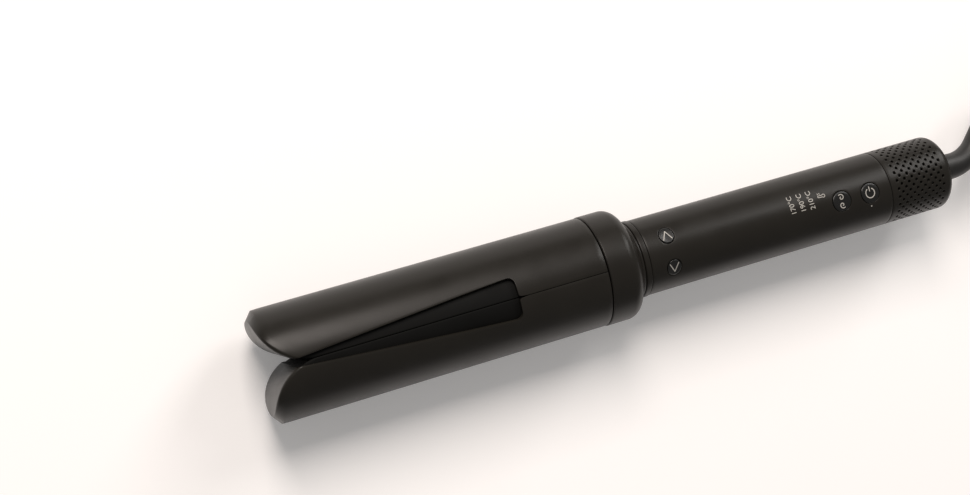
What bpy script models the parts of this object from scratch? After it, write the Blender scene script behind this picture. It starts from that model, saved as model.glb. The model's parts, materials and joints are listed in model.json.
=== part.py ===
# An automatic hair curler: a slim handle whose geared motor turns a barrel split into two sprung jaws.
# All sizes are in metres. X runs from the jaw tips to the cord, +Z is the side with the keys, and the
# barrel lies on its collar on the plane z = 0. Upper means +Y and lower means -Y.

import math

import bmesh
import bpy
from mathutils import Matrix, Vector

# Driving sizes of the whole
total_length = 0.336
barrel_radius = 0.025
handle_radius = 0.0175
jaw_share = 0.4554             # of the total length
jaw_length = total_length * jaw_share
collar_length = 0.0194
neck_ring_width = 0.0027
tail_cap_share = 0.1051        # of the total length
tail_cap_length = total_length * tail_cap_share

# Clearances and walls
gap = 0.0003            # between pieces that touch
seam_gap = 0.0006       # between the jaws and the collar
pin_gap = 0.00025       # round a hinge pin
overrun = 0.003         # how far a cutter passes the face that it cuts
barrel_wall = 0.002
liner_wall = 0.0015
handle_wall = 0.0018
collar_proud = 0.0003

# Smoothness
round_steps = 36
inner_steps = 20
small_steps = 12
arc_steps = 5

# Jaws: noses, mouth, hinges
nose_share = 0.84              # of the barrel's radius
nose_radius = barrel_radius * nose_share
nose_corner = 0.004
nose_wall = 0.0016
mouth_front = 0.022      # from the tip, where the mouth's half width is measured
mouth_front_share = 0.1
mouth_front_half = barrel_radius * mouth_front_share
mouth_root_share = 0.7288      # of the jaw's length
mouth_root = jaw_length * mouth_root_share  # from the tip
mouth_width_share = 0.388
mouth_root_half = barrel_radius * mouth_width_share
mouth_corner = 0.003
flare_length = 0.005     # where the mouth runs out into the seam
flare_half = 0.0012
pin_from_jaw = 0.004     # from the jaw's rear edge back to the hinge pin
pin_offset_share = 0.68
pin_offset = barrel_radius * pin_offset_share  # from the barrel's axis
pin_radius = 0.0015
lug_share = 0.128
lug_radius = barrel_radius * lug_share
arm_share = 0.28
arm_half_width = barrel_radius * arm_share
arm_thickness = 0.0035
arm_reach = 0.025        # from the jaw's rear edge forward
fork_half_slot = 0.0039
liner_short = 0.003      # the liner ends this far before its shell
ear_share = 0.108
ear_thickness = barrel_radius * ear_share

# Torsion springs on the hinge pins
spring_wire = 0.0004
spring_radius = 0.0025
spring_turns = 5
spring_pitch = 0.0013
spring_leg = 0.0055

# Heater plates
plate_place_share = 0.1732     # of the jaw's length
plate_from_tip = jaw_length * plate_place_share
plate_length_share = 0.5556
plate_length = jaw_length * plate_length_share
plate_width_share = 0.52       # of the barrel's radius
plate_half_width = barrel_radius * plate_width_share
plate_flange = 0.0016
plate_back = 0.0032
element_length_share = 0.6824  # of the plate's length
element_length = plate_length * element_length_share
element_width_share = 0.28
element_half_width = barrel_radius * element_width_share
element_thickness = 0.003
leaf_share = 0.5647
leaf_length = plate_length * leaf_share
leaf_rise = 0.0044
leaf_thickness = 0.0004
leaf_half_width = 0.004
plate_float = 0.0006
rib_length = 0.018
rib_half_width = 0.002

# Collar, chassis and the hollow shaft
collar_edge = 0.0006
dome_depth = 0.0088
dome_rounding = 0.006
dome_fillet = 0.0015
collar_mouth_share = 0.543     # of the handle's radius
collar_mouth = handle_radius * collar_mouth_share
disc_clear = 0.0006
disc_thickness = 0.0028
shaft_share = 0.2857
shaft_radius = handle_radius * shaft_share
shaft_bore_share = 0.1257
shaft_bore = handle_radius * shaft_bore_share

# Neck, bearing, slip ring and brushes
lip_length = 0.0033
lip_wall = 0.0015
bearing_share = 0.4571         # of the handle's radius
bearing_radius = handle_radius * bearing_share
bearing_length = 0.006
neck_web = 0.002
rotor_share = 0.4114
rotor_radius = handle_radius * rotor_share
rotor_length = 0.009
contact_ring_share = 0.4914
ring_outer = handle_radius * contact_ring_share
contact_ring_width = 0.002
ring_pitch = 0.0045
brush_half_width = 0.003
brush_depth = 0.0016
brush_block_height = 0.0035

# Planetary gears
module_share = 0.03714         # of the handle's radius
gear_module = handle_radius * module_share
sun_teeth = 12
planet_teeth = 12
planet_count = 3
gear_width = 0.005
pressure_angle = math.radians(25)
tooth_share = 0.43       # of the pitch that a tooth takes
tip_share = 0.8          # addendum over module
root_share = 1.15        # dedendum over module
planet_pin_radius = 0.001
carrier_share = 0.6743
carrier_radius = handle_radius * carrier_share
carrier_thickness = 0.0025
ring_rim = 0.0015

# Motor
motor_share = 0.6286           # of the handle's radius
motor_radius = handle_radius * motor_share
motor_shaft_radius = 0.001
motor_boss_radius = 0.0035
motor_boss_length = 0.0015
motor_length_share = 0.2216     # of the handle shell's length
motor_plate_thickness = 0.0018

# Keys and boards
direction_key_from_neck = 0.0138
mode_key_share = 0.8138         # of the handle shell's length, from the neck
power_key_share = 0.9347
marks_share = 0.5882
board_rear_share = 0.975
direction_key_share = 0.4171   # of the handle's radius
direction_key_offset = handle_radius * direction_key_share
direction_key_size_share = 0.1943
direction_key_radius = handle_radius * direction_key_size_share
round_key_radius = 0.0046
key_flange = 0.0008
key_flange_thickness = 0.0007
key_stem_radius = 0.0013
key_proud = 0.00015
key_travel = 0.0005
direction_key_travel = 0.0004
key_slack = 0.0001       # left under a key at the end of its travel
board_thickness = 0.001
control_board_headroom = 0.0051  # from the handle's inner wall down to the board's underside
key_board_lift = 0.001         # over the contact rings
switch_height = 0.0006
switch_half = 0.002
key_board_front = 0.0070
key_board_rear = 0.0160
power_board_share = 0.5029
power_board_depth = handle_radius * power_board_share
capacitor_radius = 0.0042
capacitor_length = 0.018
capacitor_from_front = 0.006
choke_size = 0.009
choke_height = 0.007
choke_from_rear = 0.012
marks_length = 0.0140
marks_place_share = 0.28
marks_offset = handle_radius * marks_place_share
marks_width_share = 0.1771
marks_half_width = handle_radius * marks_width_share
marks_depth = 0.0012

# Shell screw
screw_radius = 0.0011
screw_head_radius = 0.0021
screw_head_height = 0.0014
screw_thread = 0.007
boss_radius = 0.003
boss_seat_depth = 0.008

# Tail cap, fan and swivel
cap_end_wall = 0.0018
cap_corner_length = 0.005
cap_flat_radius = 0.0085
cap_hole_radius = 0.0069
hole_radius = 0.0010
hole_columns = 3
hole_rows = 8
hole_pitch_share = 0.24        # of the cap's length
hole_pitch = tail_cap_length * hole_pitch_share
holes_from_front = 0.0040
fan_from_front = 0.0020
fan_length = 0.0085
fan_hub_radius = 0.0045
fan_rim = 0.002
fan_tip_gap = 0.0005
fan_blades = 5
blade_thickness = 0.0007
blade_width = 0.0052
blade_pitch = math.radians(38)
strut_width = 0.0016
strut_thickness = 0.0015
flange_radius = 0.0085
flange_length = 0.003
socket_rim = 0.0012
socket_web = 0.0015
socket_bore = 0.0045

# Mains lead: strain relief, cord, tie and plug
relief_neck_radius = 0.0066
relief_radius = 0.0066
relief_end_radius = 0.0046
relief_straight = 0.0083
relief_bend = 0.020
relief_turn = math.radians(50)
relief_tail = 0.014
relief_points = 9
cord_radius = 0.0035
cord_lay = 0.0076        # from layer to layer
hank_lay = 0.0078        # from loop to loop, at the same height
hank_x = 0.2935          # middle of the hank's runs
hank_y = 0.0044
hank_run = 0.107         # length of a run between two folds
hank_fold = 0.021        # radius of the tightest fold
hank_waist = 0.009       # how far the tie draws each run in
hank_layers = 4
run_steps = 4
fold_steps = 8
point_every = 1.0       # cord diameters between points of the free stretches
tie_thickness = 0.0008
tie_width = 0.010
tie_slack = 0.0013
plug_length = 0.034
plug_half_width = 0.0175
plug_half_height = 0.0068
plug_neck_half = 0.0065
plug_x = 0.407
plug_y = 0.018
prong_radius = 0.002
prong_length = 0.019
prong_spacing = 0.0186
# The lead's free stretches between their ends, as points chosen by hand
run_points = [(0.2124, 0.0297, 0.0260), (0.2200, 0.0331, 0.0269)]
end_points = [
    (0.3655, 0.0324, 0.0051), (0.3770, 0.0262, 0.0057), (0.3885, 0.0199, 0.0063),
]

# Places along the axis, from the sizes above
collar_radius = barrel_radius + collar_proud
axis_z = collar_radius
tip_x = -total_length / 2
tail_x = total_length / 2
jaw_rear_x = tip_x + jaw_length
collar_front_x = jaw_rear_x + seam_gap
collar_rear_x = collar_front_x + collar_length
neck_front_x = collar_rear_x + gap
neck_rear_x = neck_front_x + neck_ring_width
shell_front_x = neck_rear_x + gap
cap_front_x = tail_x - tail_cap_length
shell_rear_x = cap_front_x - gap
handle_length = shell_rear_x - shell_front_x
motor_length = handle_length * motor_length_share
pin_x = jaw_rear_x + pin_from_jaw
disc_front_x = pin_x + lug_radius + disc_clear
disc_rear_x = disc_front_x + disc_thickness
handle_inner = handle_radius - handle_wall
seat_radius = handle_inner - gap
bearing_front_x = neck_rear_x - neck_web
bearing_rear_x = bearing_front_x + bearing_length
rotor_front_x = bearing_rear_x + gap
rotor_rear_x = rotor_front_x + rotor_length
carrier_front_x = rotor_rear_x + gap
carrier_rear_x = carrier_front_x + carrier_thickness
gear_front_x = carrier_rear_x + gap
gear_rear_x = gear_front_x + gear_width
motor_plate_x = gear_rear_x + gap + gap
motor_front_x = motor_plate_x + motor_plate_thickness + gap
motor_rear_x = motor_front_x + motor_length
screw_x = motor_rear_x + motor_boss_length + gap + boss_radius
board_front_x = screw_x + boss_radius + 2 * gap
board_rear_x = neck_front_x + handle_length * board_rear_share
control_board_height = handle_inner - control_board_headroom
key_board_height = ring_outer + key_board_lift
ring_teeth = sun_teeth + 2 * planet_teeth
sun_pitch = gear_module * sun_teeth / 2
planet_pitch = gear_module * planet_teeth / 2
ring_pitch_radius = gear_module * ring_teeth / 2
planet_distance = sun_pitch + planet_pitch
cord_lift = tie_thickness + gap
hank_low_z = cord_radius + cord_lift
hank_top_z = hank_low_z + cord_lay * (hank_layers - 1)
hank_outer = hank_fold + hank_lay
hank_middle = (hank_fold + hank_outer) / 2
loop_length = 2 * hank_run + 2 * math.pi * hank_middle
run_share = hank_run / loop_length
fold_share = 1 / 2 - run_share


finishes = {
    "black_shell": ((0.016, 0.015, 0.013), 0.42, 0.0),
    "black_liner": ((0.007, 0.007, 0.007), 0.62, 0.0),
    "black_key": ((0.012, 0.012, 0.012), 0.35, 0.0),
    "black_rubber": ((0.014, 0.014, 0.014), 0.7, 0.0),
    "glass_filled_nylon": ((0.03, 0.03, 0.032), 0.6, 0.0),
    "white_acetal": ((0.72, 0.72, 0.68), 0.45, 0.0),
    "coated_aluminium": ((0.05, 0.048, 0.045), 0.38, 0.6),
    "steel": ((0.55, 0.55, 0.56), 0.32, 1.0),
    "brass": ((0.62, 0.46, 0.2), 0.3, 1.0),
    "copper": ((0.7, 0.36, 0.2), 0.3, 1.0),
    "board_green": ((0.03, 0.12, 0.05), 0.5, 0.0),
    "clear_lens": ((0.75, 0.76, 0.78), 0.15, 0.0),
    "ceramic": ((0.78, 0.74, 0.66), 0.6, 0.0),
}


def clear_scene():
    for thing in list(bpy.data.objects):
        bpy.data.objects.remove(thing, do_unlink=True)


def new_collection(name):
    group = bpy.data.collections.new(name)
    bpy.context.scene.collection.children.link(group)
    return group


def finish_material(name):
    found = bpy.data.materials.get(name)
    if found:
        return found
    colour, roughness, metallic = finishes[name]
    made = bpy.data.materials.new(name)
    made.use_nodes = True
    shader = made.node_tree.nodes["Principled BSDF"]
    shader.inputs["Base Color"].default_value = (*colour, 1.0)
    shader.inputs["Roughness"].default_value = roughness
    shader.inputs["Metallic"].default_value = metallic
    made.diffuse_color = (*colour, 1.0)
    return made


def adopt(thing, group, finish=None):
    for old in list(thing.users_collection):
        old.objects.unlink(thing)
    group.objects.link(thing)
    if finish:
        thing.data.materials.clear()
        thing.data.materials.append(finish_material(finish))
    return thing


def as_cutter(thing):
    adopt(thing, cutters)
    thing.hide_render = True
    thing.display_type = "WIRE"
    return thing


def boolean(target, tool, operation):
    as_cutter(tool)
    step = target.modifiers.new(operation.title() + " " + tool.name, "BOOLEAN")
    step.operation = operation
    step.solver = "EXACT"
    step.object = tool
    return target


def cut(target, tool):
    return boolean(target, tool, "DIFFERENCE")


def join(target, tool):
    return boolean(target, tool, "UNION")


def keep_inside(target, tool):
    return boolean(target, tool, "INTERSECT")


def smooth(thing):
    thing.data.shade_smooth()
    thing.data.set_sharp_from_angle(angle=math.radians(30))


def counter_clockwise(outline):
    pairs = zip(outline, outline[1:] + outline[:1])
    return sum(a[0] * b[1] - b[0] * a[1] for a, b in pairs) > 0


def turned(name, outline, finish, steps=inner_steps, along="X", centre=(0.0, 0.0, axis_z)):
    """A solid of revolution from (place along the axis, radius) points, round X or Z."""
    points = [(radius, place) for place, radius in outline]
    if counter_clockwise(points):
        points.reverse()
    solid_core = min(radius for radius, _ in points) == 0
    if solid_core:
        while points[0][0] != 0 or points[-1][0] != 0:
            points = points[1:] + points[:1]
    mesh = bpy.data.meshes.new(name)
    links = [(i, i + 1) for i in range(len(points) - 1)]
    if not solid_core:
        links.append((len(points) - 1, 0))
    mesh.from_pydata([(radius, 0, place) for radius, place in points], links, [])
    thing = bpy.data.objects.new(name, mesh)
    bpy.context.scene.collection.objects.link(thing)
    thing.location = centre
    if along == "X":
        thing.rotation_euler = (0, math.pi / 2, 0)
    screw = thing.modifiers.new("Turn", "SCREW")
    screw.axis = "Z"
    screw.angle = 2 * math.pi
    screw.steps = screw.render_steps = steps
    screw.use_merge_vertices = True
    screw.merge_threshold = 0.00001
    screw.use_smooth_shade = True
    return adopt(thing, parts, finish)


def meshed(curve_object, finish=None):
    """The curve object's shape as a welded mesh object in its place."""
    graph = bpy.context.evaluated_depsgraph_get()
    graph.update()
    name = curve_object.name
    mesh = bpy.data.meshes.new_from_object(curve_object.evaluated_get(graph))
    shape = bmesh.new()
    shape.from_mesh(mesh)
    bmesh.ops.remove_doubles(shape, verts=shape.verts, dist=0.000005)
    bmesh.ops.recalc_face_normals(shape, faces=shape.faces)
    shape.to_mesh(mesh)
    shape.free()
    place = curve_object.matrix_world.copy()
    bpy.data.objects.remove(curve_object, do_unlink=True)
    thing = bpy.data.objects.new(name, mesh)
    thing.matrix_world = place
    bpy.context.scene.collection.objects.link(thing)
    return adopt(thing, parts, finish)


def flat_piece(name, outlines, low, high, finish, facing="Z", shift=(0.0, 0.0)):
    """A flat outline raised from low to high. Facing Z, its points are x and y. Facing X, they are y
    and z. Facing Y, they are x and z. Heights along Z and points in z count from the axis."""
    curve = bpy.data.curves.new(name, "CURVE")
    curve.dimensions = "2D"
    curve.fill_mode = "BOTH"
    curve.extrude = (high - low) / 2
    for outline in outlines:
        spline = curve.splines.new("POLY")
        spline.points.add(len(outline) - 1)
        for point, (u, v) in zip(spline.points, outline):
            point.co = (u + shift[0], v + shift[1], 0, 1)
        spline.use_cyclic_u = True
    thing = bpy.data.objects.new(name, curve)
    bpy.context.scene.collection.objects.link(thing)
    middle = (low + high) / 2
    if facing == "Z":
        thing.matrix_world = Matrix.Translation((0, 0, axis_z + middle))
    elif facing == "X":
        turn = Matrix(((0, 0, 1), (1, 0, 0), (0, 1, 0))).to_4x4()
        thing.matrix_world = Matrix.Translation((middle, 0, axis_z)) @ turn
    else:
        turn = Matrix(((1, 0, 0), (0, 0, -1), (0, 1, 0))).to_4x4()
        thing.matrix_world = Matrix.Translation((0, middle, axis_z)) @ turn
    bpy.context.view_layer.update()
    return meshed(thing, finish)


def block(name, low, high, finish):
    """A box from its low corner to its high one. Heights count from the axis."""
    size = [b - a for a, b in zip(low, high)]
    centre = [(a + b) / 2 for a, b in zip(low, high)]
    centre[2] += axis_z
    bpy.ops.mesh.primitive_cube_add(size=1, location=centre)
    thing = bpy.context.active_object
    thing.name = name
    thing.scale = size
    bpy.ops.object.transform_apply(location=False, rotation=False, scale=True)
    return adopt(thing, parts, finish)


def rod(name, radius, start, end, finish, sides=small_steps):
    """A round bar between two points, whose heights count from the axis."""
    a, b = Vector(start), Vector(end)
    bpy.ops.mesh.primitive_cylinder_add(vertices=sides, radius=radius, depth=(b - a).length)
    thing = bpy.context.active_object
    thing.name = name
    lift = Vector((0, 0, axis_z))
    turn = (b - a).to_track_quat("Z", "Y").to_matrix().to_4x4()
    thing.matrix_world = Matrix.Translation((a + b) / 2 + lift) @ turn
    smooth(thing)
    return adopt(thing, parts, finish)


def arc(centre, radius, start, end, steps=arc_steps):
    """Points on an arc, with its angles in degrees."""
    angles = [math.radians(start + (end - start) * i / steps) for i in range(steps + 1)]
    return [(centre[0] + radius * math.cos(a), centre[1] + radius * math.sin(a)) for a in angles]


def mirrored(outline, side):
    return [(u, v * side) for u, v in outline]


def smooth_path(points, spacing):
    """Points along a smooth curve through the given ones, evenly spaced."""
    knots = [Vector(p) for p in points]
    ends = [2 * knots[0] - knots[1]] + knots + [2 * knots[-1] - knots[-2]]
    fine = []
    for a, b, c, d in zip(ends, ends[1:], ends[2:], ends[3:]):
        for i in range(arc_steps * 2):
            t = i / (arc_steps * 2)
            fine.append(
                (2 * b + (c - a) * t + (2 * a - 5 * b + 4 * c - d) * t * t
                 + (3 * b - a - 3 * c + d) * t ** 3) / 2
            )
    fine.append(knots[-1])
    total = sum((b - a).length for a, b in zip(fine, fine[1:]))
    count = max(2, round(total / spacing))
    even, walked, target = [fine[0]], 0.0, total / count
    for a, b in zip(fine, fine[1:]):
        step = (b - a).length
        while step and walked + step >= target and len(even) < count:
            even.append(a.lerp(b, (target - walked) / step))
            target += total / count
        walked += step
    return even + [fine[-1]]


def tube(name, points, radius, finish, resolution=1, tapers=None):
    """A round tube along world points, with closed ends. Tapers are shares of its radius."""
    curve = bpy.data.curves.new(name, "CURVE")
    curve.dimensions = "3D"
    curve.bevel_depth = radius
    curve.bevel_resolution = resolution
    curve.use_fill_caps = True
    spline = curve.splines.new("POLY")
    spline.points.add(len(points) - 1)
    for i, (point, place) in enumerate(zip(spline.points, points)):
        point.co = (*place, 1)
        point.radius = tapers[i] if tapers else 1
    thing = bpy.data.objects.new(name, curve)
    bpy.context.scene.collection.objects.link(thing)
    return adopt(thing, parts, finish)


# Jaws

def nose_outline(side, shift, face, rear_x, reach):
    """A jaw's outline from above: its rounded nose, its flat face by the slit and its rear end."""
    centre_x = tip_x + shift + nose_radius
    meet = math.degrees(math.asin(min((nose_radius - face) / nose_radius, 1)))
    nose = arc((centre_x, nose_radius), nose_radius, 180, 180 + meet, arc_steps * 2)
    if face < 0:
        nose.append((centre_x, face))
    return mirrored([(rear_x, face), (rear_x, reach), (tip_x + shift, reach)] + nose, side)


def barrel_solid(name, radius, shift, rear_x):
    """A round bar along the axis whose front edge is rounded."""
    front = tip_x + shift
    corner = min(nose_corner, radius / 2)
    edge = arc((front + corner, radius - corner), corner, 180, 90, arc_steps)
    return turned(name, [(rear_x, 0), (front, 0)] + edge + [(rear_x, radius)], None, round_steps)


def half_barrel(name, side, radius, shift, face, rear_x, finish):
    """One half of a round-ended bar, split at the slit and with a rounded nose."""
    body = barrel_solid(name, radius, shift, rear_x)
    reach = barrel_radius + overrun
    outline = nose_outline(side, shift, face, rear_x + overrun, reach)
    keep_inside(body, flat_piece(name + "_nose", [outline], -reach, reach, None))
    return adopt(body, parts, finish)


def mouth_outline():
    """The mouth from above: it widens from the noses to its root, then runs out into the seam."""
    slope = (mouth_root_half - mouth_front_half) / (mouth_root - mouth_front)
    front_x = tip_x - overrun
    front_half = mouth_front_half - slope * (mouth_front + overrun)
    root_x = tip_x + mouth_root
    corner_x, corner_y = root_x - mouth_corner, mouth_root_half - mouth_corner
    root = arc((corner_x, corner_y), mouth_corner, 80, 0)
    flare = [(root_x + flare_length * (1 - math.cos(a)), flare_half * (1 - math.sin(a)))
             for a in (0, math.pi / 6, math.pi / 3, math.pi / 2.2)]
    half = [(front_x, front_half)] + root + flare
    return half + [(u, -v) for u, v in reversed(half)]


def make_jaw_shell(word, side):
    shell = half_barrel("jaw_shell_" + word, side, barrel_radius, 0.0, gap / 2, jaw_rear_x,
                        "black_shell")
    inner = half_barrel("shell_hollow_" + word, side, barrel_radius - barrel_wall, nose_wall,
                        -overrun, jaw_rear_x + overrun, None)
    cut(shell, inner)
    reach = barrel_radius + overrun
    cut(shell, flat_piece("mouth_" + word, [mouth_outline()], -reach, reach, None))
    return shell


def make_jaw_liner(word, side):
    rear_x = jaw_rear_x - liner_short
    outer = barrel_radius - barrel_wall - gap
    inner = outer - liner_wall
    shift = nose_wall + gap
    face = gap / 2
    liner = half_barrel("jaw_liner_" + word, side, outer, shift, face, rear_x, "black_liner")
    hollow = half_barrel("liner_hollow_" + word, side, inner, shift + liner_wall,
                         face + liner_wall, rear_x + overrun, None)
    cut(liner, hollow)
    window_front = tip_x + plate_from_tip - gap
    window_rear = window_front + plate_length + 2 * gap
    near, far = sorted((-side * overrun, side * (face + liner_wall + overrun)))
    half = plate_half_width + gap
    cut(liner, block("plate_window_" + word, (window_front, near, -half),
                     (window_rear, far, half), None))
    middle = tip_x + plate_from_tip + plate_length / 2
    rib_y = leaf_top() + gap + plate_float
    near, far = sorted((side * rib_y, side * (inner + liner_wall / 2)))
    join(liner, block("leaf_rib_" + word, (middle - rib_length / 2, near, -rib_half_width),
                      (middle + rib_length / 2, far, rib_half_width), None))
    return liner


def make_jaw_arm(word, side):
    """The arm that carries the jaw on its hinge pin, with a fork for the spring."""
    liner_inner = barrel_radius - barrel_wall - gap - liner_wall
    top = math.sqrt((liner_inner - gap) ** 2 - arm_half_width ** 2)
    low = top - arm_thickness
    front = jaw_rear_x - arm_reach
    lug_front = pin_x - lug_radius
    lug = arc((pin_x, pin_offset), lug_radius, -150, 90, arc_steps * 2)
    outline = [(front, top), (front, low), (lug_front - arm_thickness / 2, low)] + lug
    outline.append((lug_front - arm_thickness / 2, top))
    arm = flat_piece("jaw_arm_" + word, [mirrored(outline, side)], -arm_half_width,
                     arm_half_width, "glass_filled_nylon")
    near, far = sorted((0.0, side * barrel_radius))
    cut(arm, block("fork_slot_" + word, (pin_x - lug_radius - gap, near, -fork_half_slot),
                   (pin_x + lug_radius + overrun, far, fork_half_slot), None))
    bore_end = arm_half_width + overrun
    cut(arm, rod("arm_bore_" + word, pin_radius + pin_gap, (pin_x, side * pin_offset, -bore_end),
                 (pin_x, side * pin_offset, bore_end), None))
    return arm


def make_hinge_pin(word, side):
    end = arm_half_width + gap + ear_thickness
    return rod("hinge_pin_" + word, pin_radius, (pin_x, side * pin_offset, -end),
               (pin_x, side * pin_offset, end), "steel")


def make_jaw_spring(word, side):
    """A torsion spring round the hinge pin: one unbroken wire with a leg at each end."""
    per_turn = 8
    start = -math.pi / 2
    count = spring_turns * per_turn
    half_height = spring_turns * spring_pitch / 2
    coil = []
    for i in range(count + 1):
        angle = start + 2 * math.pi * i / per_turn
        coil.append((pin_x + spring_radius * math.cos(angle),
                     side * (pin_offset + spring_radius * math.sin(angle)),
                     axis_z - half_height + spring_pitch * i / per_turn))
    rear_leg = disc_front_x - gap
    front_leg = pin_x - spring_leg
    leg_y = coil[0][1]
    points = [(front_leg, leg_y, coil[0][2])] + coil + [(rear_leg, leg_y, coil[-1][2])]
    return tube("jaw_spring_" + word, points, spring_wire, "steel", 0)


def leaf_top():
    """How far the leaf spring's crown stands from the slit."""
    element_back = plate_back + gap + element_thickness
    return element_back + gap + leaf_thickness + leaf_rise


def make_heater(word, side):
    """The floating plate, the flat element on its back and the leaf spring behind them."""
    front = tip_x + plate_from_tip
    rear = front + plate_length
    face = gap / 2
    shoulder = face + liner_wall + gap
    wide = plate_half_width + plate_flange
    section = [(face, -plate_half_width), (face, plate_half_width), (shoulder, plate_half_width),
               (shoulder, wide), (plate_back, wide), (plate_back, -wide), (shoulder, -wide),
               (shoulder, -plate_half_width)]
    section = [(u * side, v) for u, v in section]
    plate = flat_piece("heater_plate_" + word, [section], front, rear, "coated_aluminium", "X")
    middle = (front + rear) / 2
    near, far = sorted((side * (plate_back + gap), side * (plate_back + gap + element_thickness)))
    element = block("heater_element_" + word,
                    (middle - element_length / 2, near, -element_half_width),
                    (middle + element_length / 2, far, element_half_width), "ceramic")
    base = plate_back + gap + element_thickness + gap
    steps = arc_steps * 2
    crown = [(middle + leaf_length * (i / steps - 1 / 2), base + leaf_rise * math.sin(math.pi * i / steps))
             for i in range(steps + 1)]
    strip = crown + [(u, v + leaf_thickness) for u, v in reversed(crown)]
    leaf = flat_piece("leaf_spring_" + word, [mirrored(strip, side)], -leaf_half_width,
                      leaf_half_width, "steel")
    return plate, element, leaf


def make_jaws():
    for word, side in (("upper", 1), ("lower", -1)):
        make_jaw_shell(word, side)
        make_jaw_liner(word, side)
        make_jaw_arm(word, side)
        make_hinge_pin(word, side)
        make_jaw_spring(word, side)
        make_heater(word, side)


# Head: collar, chassis, slip ring, carrier

def dome_outline(radius, foot, front_x, rear_x):
    """The dome's line from the straight wall down to the neck: a rounding, a slope and a fillet."""
    start_x = rear_x - dome_depth
    rounding = arc((start_x, radius - dome_rounding), dome_rounding, 90, 40, arc_steps)
    fillet = arc((rear_x, foot + dome_fillet), dome_fillet, 220, 270, 2)
    return [(front_x, radius)] + rounding + fillet


def make_collar():
    inner = barrel_radius - barrel_wall + gap
    web_front = collar_rear_x - barrel_wall
    outside = [(collar_front_x, collar_radius - collar_edge)]
    outside += dome_outline(collar_radius, handle_radius, collar_front_x + collar_edge,
                            collar_rear_x)
    hollow_end = inner - dome_depth
    inside = [(collar_rear_x, collar_mouth), (web_front, collar_mouth), (web_front, hollow_end),
              (disc_rear_x + gap + dome_rounding / 2, inner - barrel_wall),
              (disc_rear_x + gap, inner), (collar_front_x, inner)]
    return turned("collar", outside + inside, "black_shell", round_steps)


def make_chassis():
    """The disc that fills the collar, the hollow shaft behind it and the ears for the hinge pins."""
    disc_radius = barrel_radius - barrel_wall
    outline = [(disc_front_x, shaft_bore), (disc_front_x, disc_radius), (disc_rear_x, disc_radius),
               (disc_rear_x, shaft_radius), (carrier_rear_x, shaft_radius),
               (carrier_rear_x, shaft_bore)]
    chassis = turned("head_chassis", outline, "glass_filled_nylon")
    ear_low = arm_half_width + gap
    ear_high = ear_low + ear_thickness
    root_x = disc_front_x + disc_thickness / 2
    for side in (1, -1):
        for end, low, high in (("top", ear_low, ear_high), ("bottom", -ear_high, -ear_low)):
            front = arc((pin_x, pin_offset), lug_radius, 270, 90, arc_steps)
            outline = [(root_x, pin_offset - lug_radius)] + front
            outline.append((root_x, pin_offset + lug_radius))
            name = "ear_" + end + ("_upper" if side > 0 else "_lower")
            join(chassis, flat_piece(name, [mirrored(outline, side)], low, high, None))
        bore_end = ear_high + overrun
        cut(chassis, rod("ear_bore_" + str(side), pin_radius + pin_gap,
                         (pin_x, side * pin_offset, -bore_end),
                         (pin_x, side * pin_offset, bore_end), None))
    return chassis


def make_slip_ring():
    bore = shaft_radius + gap
    turned("slip_ring_rotor", [(rotor_front_x, bore), (rotor_front_x, rotor_radius),
                               (rotor_rear_x, rotor_radius), (rotor_rear_x, bore)],
           "white_acetal")
    middle = (rotor_front_x + rotor_rear_x) / 2
    for number, step in ((1, -1), (2, 1)):
        centre = middle + step * ring_pitch / 2
        low, high = centre - contact_ring_width / 2, centre + contact_ring_width / 2
        inner = rotor_radius + gap
        turned("contact_ring_" + str(number), [(low, inner), (low, ring_outer),
                                               (high, ring_outer), (high, inner)], "copper")


def planet_place(number):
    angle = 2 * math.pi * number / planet_count
    return planet_distance * math.cos(angle), planet_distance * math.sin(angle)


def make_carrier():
    bore = shaft_radius + gap
    carrier = turned("planet_carrier", [(carrier_front_x, bore), (carrier_front_x, carrier_radius),
                                        (carrier_rear_x, carrier_radius), (carrier_rear_x, bore)],
                     "glass_filled_nylon")
    root_x = carrier_front_x + carrier_thickness / 2
    for number in range(planet_count):
        y, z = planet_place(number)
        join(carrier, rod("planet_pin_" + str(number + 1), planet_pin_radius, (root_x, y, z),
                          (gear_rear_x, y, z), None, small_steps))
    return carrier


def make_head():
    make_collar()
    make_chassis()
    make_slip_ring()
    make_carrier()


# Gears and motor

def involute(angle):
    return math.tan(angle) - angle


def gear_outline(teeth, inner_share, outer_share, share, turn):
    """An involute gear's outline in y and z, with root and tip radii as shares of the module."""
    pitch = gear_module * teeth / 2
    base = pitch * math.cos(pressure_angle)
    root = pitch - inner_share * gear_module
    tip = pitch + outer_share * gear_module
    half_pitch = share * math.pi / teeth
    flank = []
    for radius in (max(root, base), pitch, tip):
        lean = involute(math.acos(base / radius)) - involute(pressure_angle)
        flank.append((radius, half_pitch - lean))
    if root < base:
        flank.insert(0, (root, flank[0][1]))
    points = []
    for tooth in range(teeth):
        centre = turn + 2 * math.pi * tooth / teeth
        rising = [(r, centre - a) for r, a in flank]
        falling = [(r, centre + a) for r, a in reversed(flank)]
        points += [(r * math.cos(a), r * math.sin(a)) for r, a in rising + falling]
    return points


def circle(radius, steps):
    return [(radius * math.cos(2 * math.pi * i / steps), radius * math.sin(2 * math.pi * i / steps))
            for i in range(steps)]


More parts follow.
